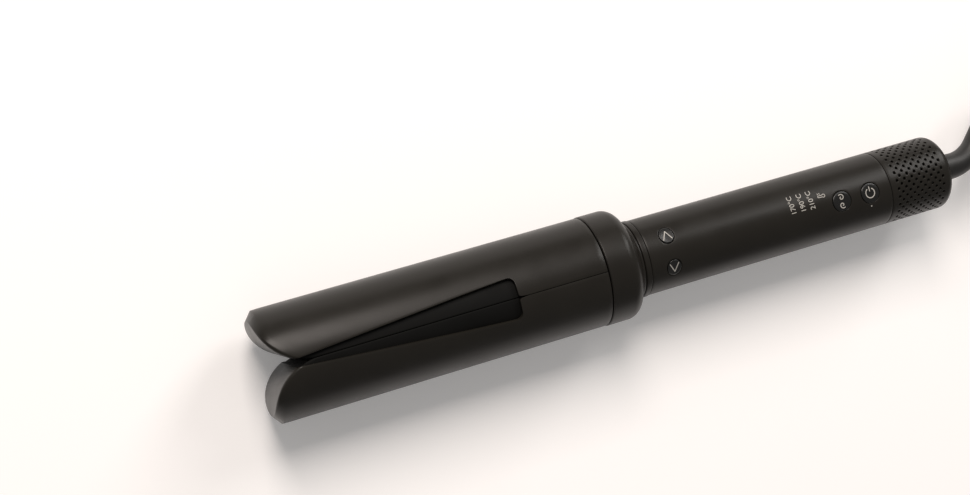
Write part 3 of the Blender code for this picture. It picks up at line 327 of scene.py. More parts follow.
boot = {"start": 168.3, "straight": 8.3, "bend": 20.0, "turn": 50.0, "tail": 14.0, "neck": 6.6, "end": 4.6,
        "rim": 0.8, "flange": [(160.0, 8.4), (162.9, 8.4), (163.0, 6.6)]}
cordRadius = 3.5
hank = {"x": 293.5, "y": 4.4, "run": 107.0, "fold": 21.0, "lay": 7.8, "layers": 4, "waist": 9.0,
        "low": 4.6, "layer": 7.6, "runSteps": 16, "foldSteps": 20}
plug = {"x": 407.0, "y": 18.0, "length": 34.0, "halfWidth": 17.5, "halfHeight": 6.8, "neckHalf": 6.0,
        "neckHeight": 5.2, "shoulder": 13.0, "swell": 6.0, "rim": 1.2, "neckRim": 0.9}
grip = {"from": 15.0, "to": 27.0, "pitch": 4.0, "depth": 0.55}
pin = {"gap": 0.3, "apart": 18.6, "length": 18.7, "radius": 2.0, "round": 1.8, "sleeve": 9.7,
       "sleeveRadius": 1.98, "neck": 1.9}
strap = {"inner": -21.3, "outer": 25.2, "low": 0.05, "top": 31.9, "bend": 3.6, "halfWidth": 5.0,
         "thick": 0.8, "edge": 0.25}
runPoints = [(212.4, 29.7, 26.0), (220.0, 33.1, 26.9)]
endPoints = [(365.5, 32.4, 5.1), (377.0, 26.2, 5.7), (388.5, 19.9, 6.3)]


# Goes from 0 to 1 with level ends.
def eased(share):
    share = min(max(share, 0), 1)
    return share * share * (3 - 2 * share)


def bootPath():
    x = boot["start"] + boot["straight"]
    path = [(boot["start"] + boot["straight"] * i / 4, 0, axisZ) for i in range(5)]
    for a in np.radians(np.linspace(0, boot["turn"], 19)[1:]):
        path.append((x + boot["bend"] * math.sin(a), boot["bend"] * (1 - math.cos(a)), axisZ))
    way = Vector((math.cos(math.radians(boot["turn"])), math.sin(math.radians(boot["turn"])), 0))
    last = Vector(path[-1])
    return path + [tuple(last + way * boot["tail"] * i / 6) for i in range(1, 7)]


# A point of the hank. Turns are counted from the middle of its first run.
def hankPlace(turn):
    outer, layers = hank["fold"] + hank["lay"], hank["layers"]
    middle = hank["fold"] + hank["lay"] / 2
    runShare = hank["run"] / (2 * hank["run"] + math.tau * middle)
    past = max(-turn, turn - layers)
    radius = outer + hank["lay"] * (past if past > 0 else -abs((turn + 1) % 2 - 1))
    z = hank["low"] + hank["layer"] * (layers - 1)
    for change in range(1, layers):
        z -= hank["layer"] * eased((turn - change) / runShare + 0.5)
    share = (turn + runShare / 2) % 1
    side = 1 if share < 0.5 else -1
    share %= 0.5
    if share < runShare:
        along = hank["run"] * (share / runShare - 0.5)
        drawnIn = hank["waist"] * (1 + math.cos(math.tau * along / hank["run"])) / 2
        return Vector((hank["x"] + side * along, hank["y"] + side * (radius - drawnIn), z))
    angle = math.pi / 2 - math.pi * (share - runShare) / (0.5 - runShare)
    return Vector((hank["x"] + side * (hank["run"] / 2 + radius * math.cos(angle)),
                   hank["y"] + side * radius * math.sin(angle), z))


# Long loops that spiral in and out again, going down layer by layer.
def hankPath():
    middle = hank["fold"] + hank["lay"] / 2
    runShare = hank["run"] / (2 * hank["run"] + math.tau * middle)
    turns = []
    for half in range(2 * hank["layers"] + 1):
        start = half / 2 - runShare / 2
        turns += [start + runShare * i / hank["runSteps"] for i in range(hank["runSteps"])]
        turns += [start + runShare + (0.5 - runShare) * i / hank["foldSteps"]
                  for i in range(hank["foldSteps"])]
    points = [hankPlace(turn) for turn in turns[:1 - hank["foldSteps"]]]
    way = Vector((2 * cordRadius, 0, 0))
    return [points[0] - way] + points + [points[-1] + way]


# Evenly spaced points on a smooth curve through the given ones.
def smoothLine(points, spacing):
    knots = [Vector(p) for p in points]
    ends = [2 * knots[0] - knots[1]] + knots + [2 * knots[-1] - knots[-2]]
    fine = []
    for a, b, c, d in zip(ends, ends[1:], ends[2:], ends[3:]):
        for t in np.linspace(0, 1, 12, endpoint=False):
            fine.append((2 * b + (c - a) * t + (2 * a - 5 * b + 4 * c - d) * t * t
                         + (3 * b - a - 3 * c + d) * t ** 3) / 2)
    fine.append(knots[-1])
    length = sum((b - a).length for a, b in zip(fine, fine[1:]))
    return resample(fine, np.linspace(0, 1, max(2, round(length / spacing)) + 1))


# Two points that run straight on past an end.
def leaving(end, before):
    way = (Vector(end) - Vector(before)).normalized()
    return [Vector(end) + way * 0.3, Vector(end) + way * 2 * cordRadius]


def makeCord():
    sleeve = bootPath()
    windings = hankPath()
    plugEnd = Vector((plug["x"], plug["y"], plug["halfHeight"]))
    run = leaving(sleeve[-1], sleeve[-2]) + runPoints + leaving(windings[0], windings[1])[::-1]
    end = leaving(windings[-1], windings[-2]) + endPoints
    end += leaving(plugEnd, plugEnd + Vector((1, 0, 0)))[::-1]
    points = [Vector(sleeve[-1])]
    for stretch in (smoothLine(run, 3.5), windings, smoothLine(end, 3.5), [plugEnd]):
        points += [Vector(p) for p in stretch]
    kept = [points[0]] + [b for a, b in zip(points, points[1:]) if (b - a).length > 0.25]
    curve = bpy.data.curves.new("mains_cord", "CURVE")
    curve.dimensions = "3D"
    curve.bevel_depth = cordRadius * mm
    curve.bevel_resolution = 6
    curve.use_fill_caps = True
    spline = curve.splines.new("POLY")
    spline.points.add(len(kept) - 1)
    for point, place in zip(spline.points, kept):
        point.co = (*(place * mm), 1)
    curve.materials.append(cordBlack)
    cord = bpy.data.objects.new("mains_cord", curve)
    scene.collection.objects.link(cord)
    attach(cord, "lead")
    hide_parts("cord_run", "cord_hank", "cord_end")
    length = sum((b - a).length for a, b in zip(kept, kept[1:])) * mm
    print("cord", round(length, 4), "m in", len(kept), "points")
    return cord, tuple(kept[0] * mm), length


def makeBoot():
    path = bootPath()
    length = sum((Vector(b) - Vector(a)).length for a, b in zip(path, path[1:]))
    places = np.linspace(0, length, 60)
    fine = [Vector(p) for p in resample(path, places / length)]
    radii = [boot["neck"] + (boot["end"] - boot["neck"]) * place / length for place in places]
    end, way, rim = fine[-1], (fine[-1] - fine[-2]).normalized(), boot["rim"]
    path = [Vector((x, 0, axisZ)) for x, radius in boot["flange"]] + fine[:-1]
    sections = [ring(radius) for radius in [r for x, r in boot["flange"]] + radii[:-1]]
    for a in np.radians((30, 60, 90)):
        path.append(end - way * (rim * (1 - math.sin(a))))
        sections.append(ring(radii[-1] - rim * (1 - math.cos(a))))
    newPiece("cord_boot", swept(path, sections), "lead", cordBlack, ["strain_relief"])


def superEllipse(halfWidth, halfHeight, power, sides=64):
    out = []
    for i in range(sides):
        a = math.tau * i / sides
        c, s = math.cos(a), math.sin(a)
        out.append((halfWidth * math.copysign(abs(c) ** (2 / power), c),
                    halfHeight * math.copysign(abs(s) ** (2 / power), s)))
    return out


# The moulding's outline at a distance from its neck, with ribs to grip
def plugSection(t):
    rise = eased(t / plug["shoulder"])
    halfWidth = plug["neckHalf"] + (plug["halfWidth"] - plug["neckHalf"]) * rise
    halfHeight = plug["neckHeight"] + (plug["halfHeight"] - plug["neckHeight"]) * min(t / plug["swell"], 1)
    if grip["from"] < t < grip["to"]:
        wave = math.sin(math.tau * (t - grip["from"]) / grip["pitch"])
        halfWidth -= grip["depth"] * max(0.0, wave) ** 0.5
    edge = max(0.0, t - (plug["length"] - plug["rim"])) / plug["rim"]
    inset = plug["rim"] * (1 - math.sqrt(max(0.0, 1 - edge * edge)))
    inset += plug["neckRim"] * max(0.0, 1 - t / plug["neckRim"]) ** 2
    return superEllipse(halfWidth - inset, halfHeight - inset, 2.4 + 2.2 * rise)


def makePin(number, side):
    start, high = plug["x"] + plug["length"] + pin["gap"], plug["halfHeight"]
    y = plug["y"] + side * pin["apart"] / 2
    straight, radius = pin["length"] - pin["round"], pin["radius"]
    steps = [(0.0, pin["sleeveRadius"]), (pin["sleeve"] - 0.1, pin["sleeveRadius"]),
             (pin["sleeve"] + 0.1, pin["neck"]), (pin["sleeve"] + 0.3, radius), (straight, radius)]
    steps += [(straight + pin["round"] * math.sin(a), radius - pin["round"] * (1 - math.cos(a)))
              for a in np.radians((20, 40, 60, 75, 90))]
    shape = swept([(start + t, y, high) for t, r in steps], [ring(r, 32) for t, r in steps])
    name = "plug_pin_" + str(number)
    made = newPiece(name, shape, "lead", brass, ["plug_prong_" + str(number)])
    made.data.materials.append(cordBlack)
    for face in made.data.polygons:
        if face.center.x < (start + pin["sleeve"]) * mm:
            face.material_index = 1
    return made


def makePlug():
    straight = plug["length"] - plug["rim"]
    places = np.concatenate([np.linspace(0, straight, 90),
                             straight + plug["rim"] * np.sin(np.radians((25, 50, 70, 90)))])
    path = [(plug["x"] + t, plug["y"], plug["halfHeight"]) for t in places]
    shape = swept(path, [plugSection(t) for t in places])
    body = newPiece("plug_moulding", shape, "lead", cordBlack, ["plug_body"])
    return [body, makePin(1, -1), makePin(2, 1)]


# A flat strap round the waist of the hank.
def makeTie():
    inner, outer, low, top, bend = (strap[key] for key in ("inner", "outer", "low", "top", "bend"))
    half, thick, edge = strap["halfWidth"], strap["thick"], strap["edge"]
    outline = rounded([(inner, low, bend), (outer, low, bend), (outer, top, bend), (inner, top, bend)], 8)
    outline = resample(outline + outline[:1], np.linspace(0, 1, 121))[:-1]
    section = rounded([(-half, 0, edge), (half, 0, edge), (half, -thick, edge), (-half, -thick, edge)], 2)
    middle = Vector(((inner + outer) / 2, (low + top) / 2))
    count = len(outline)
    rows = []
    for i in range(count):
        here = Vector(outline[i])
        tangent = Vector(outline[(i + 1) % count]) - Vector(outline[i - 1])
        normal = Vector((tangent.y, -tangent.x)).normalized()
        if normal.dot(here - middle) < 0:
            normal = -normal
        row = []
        for u, v in section:
            flat = here + normal * v
            row.append(Vector((hank["x"] - u, hank["y"] + flat.x, flat.y)))
        rows.append(row + row[:1])
    shape = bmesh.new()
    gridFaces(shape, rows, closed=True)
    return newPiece("cord_strap", shape, "lead", cordBlack, ["cord_tie"])


makeBoot()
cordParts = makePlug() + [makeTie()]
cord, cordExit, cordLength = makeCord()
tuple(cordExit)
print("lead made")


# Barrel's jaws

# Places s are counted along the axis from the jaws' tips
jaw = {"rear": 153.0, "sideRear": 136.0, "sideFront": 107.0, "nose": 21.0, "corner": 4.0, "wall": 1.75,
       "rim": 0.5, "round": 2.4, "lead": 2.0, "sideLead": 13.0,
       "alongRear": 12, "alongRoot": 32, "alongFront": 36, "across": 26}
slit = {"apex": -3.0, "apexHalf": 0.49, "slope": 0.0818, "cornerAt": 108.5, "corner": 3.0,
        "seamHalf": 0.15, "flare": [(116.5, 0.15), (114.6, 0.22)], "flareCentre": (112.6, 1.55),
        "flareRadius": 1.1}
liner = {"radius": 22.78, "front": 2.35, "rear": 140.0, "reach": 40.0, "seamHalf": 0.17, "film": 0.3,
         "rim": 0.08}


def frontRadius(s):
    corner = jaw["corner"]
    if s >= corner:
        return barrelRadius
    return barrelRadius - corner + math.sqrt(max(corner ** 2 - (corner - s) ** 2, 0))


def onBarrel(s, phi):
    r = frontRadius(s)
    return Vector((s + frontX, r * math.sin(phi), axisZ + r * math.cos(phi)))


def slitHalf(s):
    return slit["apexHalf"] + slit["slope"] * (s - slit["apex"])


# The mouth's edge from above, from the jaw's rear to its nose, as (s, y), and the y where it ends.
def mouthLine():
    lean = math.degrees(math.atan(slit["slope"]))
    cornerAt, corner = slit["cornerAt"], slit["corner"]
    cornerY = slitHalf(cornerAt) - corner / math.cos(math.radians(lean))
    flare = slit["flare"] + arc(slit["flareCentre"], slit["flareRadius"], 270, 180, 8)
    rear = resample([(jaw["rear"], slit["seamHalf"]), flare[0]], np.linspace(0, 1, jaw["alongRear"] + 1))
    root = flare + [(cornerAt + corner, cornerY)] + arc((cornerAt, cornerY), corner, 0, 90 + lean, 14)
    root = resample(root, np.linspace(0, 1, jaw["alongRoot"] + 1))
    nose = jaw["nose"]
    s = 12.0
    # the straight edge runs on until it meets the nose's curve
    for _ in range(40):
        s = nose - math.sqrt(nose ** 2 - (nose - slitHalf(s)) ** 2)
    front = resample([tuple(root[-1]), (s, slitHalf(s))], np.linspace(0, 1, jaw["alongFront"] + 1))
    return np.concatenate([rear, root[1:], front[1:]]), slitHalf(s)


# The nose's edge from the mouth round to the jaw's side, as (s, y), even along its real length.
def noseLine(startY):
    nose = jaw["nose"]
    top = math.asin((nose - startY) / nose)
    turns = [top * t * t for t in np.linspace(1, 0, 500)]
    points = []
    for a in turns:
        s, y = nose * (1 - math.cos(a)), nose * (1 - math.sin(a))
        z = math.sqrt(max(frontRadius(s) ** 2 - y * y, 0))
        points.append((s, y, z))
    return resample(points, np.linspace(0, 1, jaw["across"] + 1))


# Rows of points from the mouth round to the jaw's side: along the barrel, over the nose's soft corner
# and down its wall to the middle plane
def jawRows():
    mouth, startY = mouthLine()
    nose = noseLine(startY)
    along, across = len(mouth) - 1, jaw["across"]
    mouthEdge = [(s, math.asin(y / frontRadius(s))) for s, y in mouth]
    noseEdge = [(s, math.asin(min(1, y / frontRadius(s)))) for s, y, z in nose]
    knots = [0, jaw["alongRear"], jaw["alongRear"] + jaw["alongRoot"], along]
    sideEdge = []
    for i in range(along + 1):
        share = (i - knots[1]) / jaw["alongRoot"]
        s = np.interp(i, knots, [jaw["rear"], jaw["sideRear"], jaw["sideFront"], 0])
        if 0 < share < 1:
            s = jaw["sideRear"] - (jaw["sideRear"] - jaw["sideFront"]) * share ** 1.3
        sideEdge.append((s, math.pi / 2))
    inwards = np.gradient(mouth, axis=0)
    inwards = np.stack([inwards[:, 1], -inwards[:, 0]], axis=1)
    inwards /= np.linalg.norm(inwards, axis=1)[:, None]
    # how far each row leaves the even grid to follow the mouth's rounded root
    bent = [np.interp(i, [knots[1] - 8, knots[1], knots[2], knots[2] + 8], [0, 1, 1, 0])
            for i in range(along + 1)]
    rearEdge = [(jaw["rear"], mouthEdge[0][1] + (math.pi / 2 - mouthEdge[0][1]) * j / across)
                for j in range(across + 1)]
    mouthEdge, sideEdge, rearEdge, noseEdge = map(np.array, (mouthEdge, sideEdge, rearEdge, noseEdge))
    rows = []
    for j in range(across + 1):
        v = j / across
        flat = []
        for i in range(along + 1):
            u = max(0.0, (i - knots[2] - 2) / (along - knots[2] - 2)) ** 1.6
            spot = (1 - v) * mouthEdge[i] + v * sideEdge[i] + (1 - u) * rearEdge[j] + u * noseEdge[j]
            spot = spot - ((1 - u) * (1 - v) * mouthEdge[0] + u * (1 - v) * mouthEdge[-1]
                           + (1 - u) * v * sideEdge[0] + u * v * sideEdge[-1])
            if bent[i]:
                start, stop = mouth[i], np.array([sideEdge[i][0], barrelRadius * math.pi / 2])
                third = (stop - start) / 3
                first = start + third * (1 - bent[i]) + inwards[i] * jaw["lead"] * bent[i]
                second = stop - (third * (1 - bent[i]) + np.array([0, jaw["sideLead"]]) * bent[i])
                curved = (start * (1 - v) ** 3 + first * 3 * v * (1 - v) ** 2
                          + second * 3 * v * v * (1 - v) + stop * v ** 3)
                spot = spot * (1 - bent[i]) + np.array([curved[0], curved[1] / barrelRadius]) * bent[i]
            flat.append((spot[0], spot[1] * barrelRadius))
        s, y, z = nose[j]
        corner, foot = Vector((s + frontX, y, axisZ + z)), Vector((s + frontX, y, axisZ))
        size = min(jaw["round"], 0.8 * z, 0.6 * s)
        steps = np.linalg.norm(np.diff(np.array(flat), axis=0), axis=1)
        length = steps.sum()
        shares = np.concatenate([[0], np.cumsum(steps)]) / length
        kept = resample(flat, shares * (length - size) / length)
        row = [onBarrel(p[0], p[1] / barrelRadius) for p in kept]
        first, last = row[-1], corner - Vector((0, 0, size))
        row += [first * (1 - t) ** 2 + corner * 2 * t * (1 - t) + last * t * t
                for t in np.linspace(0, 1, 8)[1:]]
        row += [last.lerp(foot, t) for t in np.linspace(0, 1, 7)[1:]]
        rows.append(row)
    return rows


def makeJawShell(word, side):
    rows = jawRows()
    shape = bmesh.new()
    for flip in (1, -1):
        gridFaces(shape, [[Vector((p.x, p.y * side, axisZ + (p.z - axisZ) * flip)) for p in row]
                          for row in rows])
    bmesh.ops.remove_doubles(shape, verts=shape.verts, dist=0.002)
    bmesh.ops.dissolve_degenerate(shape, edges=shape.edges, dist=0.0005)
    def fromCore(point):
        return point - Vector((min(max(point.x, -140), -20), side * 8, axisZ))
    shell = newPiece("jaw_skin_" + word, shape, "jaw_" + word, shellBlack, ["jaw_shell_" + word],
                     45, outward=fromCore)
    addWall(shell, jaw["wall"], jaw["rim"], even=False, thinAt=[(frontX, side * jaw["nose"], axisZ)])


# The liner's smooth outer skin, seen in the mouth above and below.
def makeLinerFilm(word, side):
    radius, nose = liner["radius"], jaw["nose"]
    shape = bmesh.new()
    for flip in (1, -1):
        rows = []
        for angle in np.linspace(math.asin(liner["seamHalf"] / radius), math.radians(liner["reach"]), 25):
            y, z = radius * math.sin(angle), radius * math.cos(angle)
            front = liner["front"] + nose - math.sqrt(nose ** 2 - (nose - y) ** 2)
            rows.append([Vector((s + frontX, side * y, axisZ + flip * z))
                         for s in np.linspace(front, liner["rear"], 31)])
        gridFaces(shape, rows)
    film = newPiece("liner_skin_" + word, shape, "jaw_" + word, linerBlack, (), 45,
                    outward=fromAxis)
    addWall(film, liner["film"], liner["rim"])


for word, side in (("upper", 1), ("lower", -1)):
    makeJawShell(word, side)
    makeLinerFilm(word, side)
print("jaws made")


# Collar, neck ring

def makeRings():
    collar = rounded([(-14.39, 25.3, 0.7), (-0.473, 25.3, 6), (4.181, 17.5, 1.4), (5.01, 17.5, 0.1),
                      (5.01, 9.5, 0.3), (3.01, 9.5, 0.3), (3.01, 14.5, 0.3), (-1.09, 21.3, 0.8),
                      (-4.09, 23.3, 0.4), (-14.39, 23.3, 0.3)], 8)
    newPiece("collar_dome", spun(collar, 144), "head", shellBlack, ["collar"], 30)
    neck = rounded([(5.31, 17.8, 0.6), (8.01, 17.8, 0.35), (8.01, 15.4, 0), (11.31, 15.4, 0.2),
                    (11.31, 13.9, 0.2), (8.01, 13.9, 0.2), (8.01, 8.3, 0.1), (5.31, 8.3, 0.2)], 6)
    newPiece("neck_band", spun(neck, 144), "handle", shellBlack, ["neck_ring"], 30)


makeRings()


# Handle's shells and tail cap as sheets with holes

# A sheet on grid lines xs by ys. Each hole is (first column, last column, first row, last row,
# centre x, centre y, edge), where edge(angle) gives a point of its outline. Put places a sheet point.
def holedSheet(xs, ys, holes, put, wraps=False, rings=3):
    shape = bmesh.new()
    columns, rows = len(xs) - 1, len(ys) - 1
    taken = set()
    for c0, c1, r0, r1, *_ in holes:
        taken |= {(c, r % rows if wraps else r) for c in range(c0, c1) for r in range(r0, r1)}
    def gridPoint(c, r):
        turn = (ys[-1] - ys[0]) * (r // rows) if wraps else 0
        return Vector((xs[c], ys[r % rows if wraps else r] + turn))
    for c in range(columns):
        for r in range(rows):
            if (c, r) in taken:
                continue
            corners = [gridPoint(c, r), gridPoint(c + 1, r), gridPoint(c + 1, r + 1), gridPoint(c, r + 1)]
            shape.faces.new([shape.verts.new(put(p.x, p.y)) for p in corners])
    for c0, c1, r0, r1, cx, cy, edge in holes:
        around = [(c, r0) for c in range(c0, c1)] + [(c1, r) for r in range(r0, r1)]
        around += [(c, r1) for c in range(c1, c0, -1)] + [(c0, r) for r in range(r1, r0, -1)]
        outer = [gridPoint(c, r) for c, r in around]
        count = len(outer)
        first = math.atan2(outer[0].y - cy, outer[0].x - cx)
        angles = []
        for i, p in enumerate(outer):
            real = (math.atan2(p.y - cy, p.x - cx) - first) % math.tau
            angles.append(first + (real + math.tau * i / count) / 2)
        inner = [Vector(edge(a)) for a in angles]
        sheets = []
        for k in range(rings + 1):
            row = [put(*a.lerp(b, k / rings)) for a, b in zip(outer, inner)]
            sheets.append(row + row[:1])
        gridFaces(shape, sheets)
    return shape


# The outline on the unrolled handle of a hole cut straight down at (cx, cy).
def roundHole(cx, cy, radius):
    def edge(angle):
        y = cy + radius * math.sin(angle)
        return cx + radius * math.cos(angle), handleRadius * math.asin(y / handleRadius)
    return edge


# Each key's place along and across the handle, and its radius
keys = {"key_up": (19.11, 7.30, 3.4), "key_down": (19.11, -7.30, 3.4),
        "mode_button": (106.28, 0.0, 4.6), "power_button": (121.28, 0.0, 4.6)}
handle = {"front": 8.31, "rear": 132.39, "seam": 0.15, "wall": 1.8, "rim": 0.22, "keyGap": 0.3,
          "margin": 1.0, "screwHole": (64.41, 0.0, 2.4)}


def makeHandleShell(word, side):
    xs = np.linspace(handle["front"], handle["rear"], 101)
    reach = handleRadius * math.pi / 2 - handle["seam"]
    ys = np.linspace(-reach, reach, 45)
    stepX, stepY = xs[1] - xs[0], ys[1] - ys[0]
    wanted = [(x, y, r + handle["keyGap"]) for x, y, r in keys.values()]
    if side < 0:
        wanted = [handle["screwHole"]]
    holes = []
    for x, y, r in wanted:
        arcY = handleRadius * math.asin(y / handleRadius)
        squares = math.ceil((r + handle["margin"]) / stepX)
        c = round((x - xs[0]) / stepX)
        q = round((arcY - ys[0]) / stepY)
        holes.append((c - squares, c + squares, q - squares, q + squares, x, arcY, roundHole(x, y, r)))
    def put(x, t):
        a = t / handleRadius
        return Vector((x, handleRadius * math.sin(a), axisZ + side * handleRadius * math.cos(a)))
    shell = newPiece("handle_skin_" + word, holedSheet(xs, ys, holes, put), "handle", shellBlack,
                     ["handle_shell_" + word], 45, outward=fromAxis)
    addWall(shell, handle["wall"], handle["rim"])


for word, side in (("top", 1), ("bottom", -1)):
    makeHandleShell(word, side)


vents = {"rows": 13, "perRow": 28, "squares": 4, "pitch": 2.0, "start": 135.4, "radius": 0.7}
tail = {"front": [132.69, 134.0], "corner": (163.0, 8.5), "cornerLong": 5, "cornerHigh": 9,
        "mouth": [(168.0, 7.7), (168.0, 6.9)], "wall": 1.7, "rim": 0.12,
        "lip": [(129.39, 15.4, 0.2), (134.2, 15.4, 0), (134.2, 13.9, 0.2), (129.39, 13.9, 0.2)]}


# The vented cap: staggered rows of small holes round its wall, a soft corner and the end face.
def makeTailCap():
    perRow, squares, radius = vents["perRow"], vents["squares"], vents["radius"]
    square = vents["pitch"] / squares
    stop = vents["start"] + vents["pitch"] * vents["rows"]
    straight = tail["front"] + list(np.linspace(vents["start"], stop, vents["rows"] * squares + 1))
    cornerX, cornerR = tail["corner"]
    corner = [(cornerX + tail["cornerLong"] * math.sin(a), cornerR + tail["cornerHigh"] * math.cos(a))
              for a in np.linspace(0, math.pi / 2, 13)]
    profile = [(x, handleRadius) for x in straight] + corner + tail["mouth"]
    xs = list(range(len(profile)))
    ys = np.linspace(0, math.tau * handleRadius, perRow * squares + 1)
    holes = []
    for row in range(vents["rows"]):
        c0 = len(tail["front"]) + row * squares
        x = c0 + squares / 2
        for k in range(perRow):
            r0 = k * squares + (squares // 2 if row % 2 else 0)
            y = (r0 + squares / 2) * (ys[1] - ys[0])
            def edge(a, x=x, y=y):
                return x + radius / square * math.cos(a), y + radius * math.sin(a)
            holes.append((c0, c0 + squares, r0, r0 + squares, x, y, edge))
    places = np.array(profile)
    def put(u, t):
        x = np.interp(u, xs, places[:, 0])
        r = np.interp(u, xs, places[:, 1])
        a = t / handleRadius
        return Vector((x, r * math.sin(a), axisZ + r * math.cos(a)))
    def outward(point):
        return fromAxis(point) + Vector((max(point.x - cornerX, 0) * 3, 0, 0))
    sheet = holedSheet(xs, ys, holes, put, wraps=True, rings=2)
    cap = newPiece("tail_cap_vented", sheet, "handle", shellBlack, ["tail_cap"], 50,
                   outward=outward)
    addWall(cap, tail["wall"], tail["rim"])
    newPiece("tail_cap_lip", spun(rounded(tail["lip"], 3), 96), "handle", shellBlack, ())


makeTailCap()
print("handle made")


# Keys and prints

keyForm = {"proud": 0.15, "edge": 0.35, "dishShare": 0.86, "smallDish": 0.18, "largeDish": 0.32,
           "middle": 0.02, "foot": 12.0, "flange": [(5.4, 14.44), (5.4, 13.74), (1.3, 13.74), (1.3, 13.1)]}


# Height of a key's top at (x, y): the handle's curve, a little proud and softly dished.
def keyTop(name, x, y):
    keyX, keyY, radius = keys[name]
    reach = math.hypot(x - keyX, y - keyY) / radius
    dish = keyForm["smallDish"] if keyY else keyForm["largeDish"]
    curve = math.sqrt((handleRadius + keyForm["proud"]) ** 2 - y * y)
    return axisZ + curve - dish * max(0.0, 1 - (reach / keyForm["dishShare"]) ** 2) ** 1.5


def makeKey(name):
    x, y, radius = keys[name]
    edge, middle = keyForm["edge"], keyForm["middle"]
    turns = np.linspace(0, math.tau, 65)
    tops = [(rho, 0.0) for rho in np.linspace(middle, radius - edge, 16)]
    tops += [(radius - edge + edge * math.sin(a), -edge * (1 - math.cos(a)))
             for a in np.radians((22, 45, 68, 90))]
    rows = []
    for rho, drop in tops:
        places = [(x + rho * math.cos(turn), y + rho * math.sin(turn)) for turn in turns]
        rows.append([Vector((px, py, keyTop(name, px, py) + drop)) for px, py in places])
    # the arrow keys end flat below, and the round buttons in a flange and a stem
    foot = [(radius, keyForm["foot"]), (middle, keyForm["foot"])]
    if not y:
        flange = keyForm["flange"]
        foot = [(radius, flange[0][1])] + flange + [(middle, flange[-1][1])]
    for rho, z in foot:
        rows.append([Vector((x + rho * math.cos(t), y + rho * math.sin(t), axisZ + z)) for t in turns])
    shape = bmesh.new()
    gridFaces(shape, rows)
    closeEnds(shape)
    newPiece(name + "_cap", shape, name, keyPaintedShadeBlack, [name], 40)


for name in keys:
    makeKey(name)


# A flat line of even width with round ends, as (outline points, faces).
def stroke(points, width):
    length = sum(math.dist(a, b) for a, b in zip(points, points[1:]))
    fine = resample(points, np.linspace(0, 1, max(3, round(length / 0.25)) + 1))
    verts, faces = [], []
    half = width / 2
    ways = np.gradient(fine, axis=0)
    for (px, py), (dx, dy) in zip(fine, ways):
        size = math.hypot(dx, dy)
        nx, ny = -dy / size * half, dx / size * half
        verts += [(px + nx, py + ny), (px, py), (px - nx, py - ny)]
    for i in range(len(fine) - 1):
        for k in (0, 1):
            a = 3 * i + k
            faces.append((a, a + 1, a + 4, a + 3))
    for end, way in ((fine[0], -ways[0]), (fine[-1], ways[-1])):
        turn = math.atan2(way[1], way[0])
        first = len(verts)
        verts.append(tuple(end))
        verts += [(end[0] + half * math.cos(turn + a), end[1] + half * math.sin(turn + a))
                  for a in np.linspace(-math.pi / 2, math.pi / 2, 9)]
        faces += [(first, first + k, first + k + 1) for k in range(1, 9)]
    return verts, faces


# The built-in lettering as flat points and faces, centred, in millimetres.
def typeset(text, size):
    curve = bpy.data.curves.new("lettering", "FONT")
    curve.body = text
    curve.size = size
    curve.align_x = "CENTER"
    curve.align_y = "CENTER"
    curve.resolution_u = 8
    thing = bpy.data.objects.new("lettering", curve)
    scene.collection.objects.link(thing)
    bpy.context.view_layer.update()
    mesh = thing.evaluated_get(bpy.context.evaluated_depsgraph_get()).to_mesh()
    verts = [(v.co.x, v.co.y) for v in mesh.vertices]
    faces = [tuple(f.vertices) for f in mesh.polygons]
    bpy.data.objects.remove(thing)
    return verts, faces


# Prints stand this far proud of what carries them
inkHeight = 0.03


def makePrint(name, strokes, put, body):
    shape = bmesh.new()
    for verts, faces in strokes:
        made = [shape.verts.new(put(u, v)) for u, v in verts]
        for face in faces:
            shape.faces.new([made[k] for k in face])
    newPiece(name, shape, body, ink, outward=fromAxis)


def onKey(name):
    keyX, keyY, radius = keys[name]
    def put(u, v):
        x, y = keyX + u, keyY + v
        return Vector((x, y, keyTop(name, x, y) + inkHeight))
    return put


# Wraps a flat print round the handle, turned by an angle in degrees.
def onHandle(cx, cy, turn=0.0):
    c, s = math.cos(math.radians(turn)), math.sin(math.radians(turn))
    radius = handleRadius + inkHeight
    def put(u, v):
        a = (cy + u * s + v * c) / handleRadius
        return Vector((cx + u * c - v * s, radius * math.sin(a), axisZ + radius * math.cos(a)))
    return put


marks = {"arrow": [(-2.1, -1.7), (0.0, 1.9), (2.1, -1.7)], "arrowWidth": 0.4,
         "heats": {"170": 81.6, "190": 86.6, "210": 91.4}, "lettering": 3.5, "heatAcross": 4.6,
         "glass": (97.0, 4.9), "glassWidth": 0.28, "curlWidth": 0.42, "curlApart": 1.75,
         "powerRadius": 2.25, "powerWidth": 0.46, "dot": (120.9, -6.2), "dotWidth": 0.7}


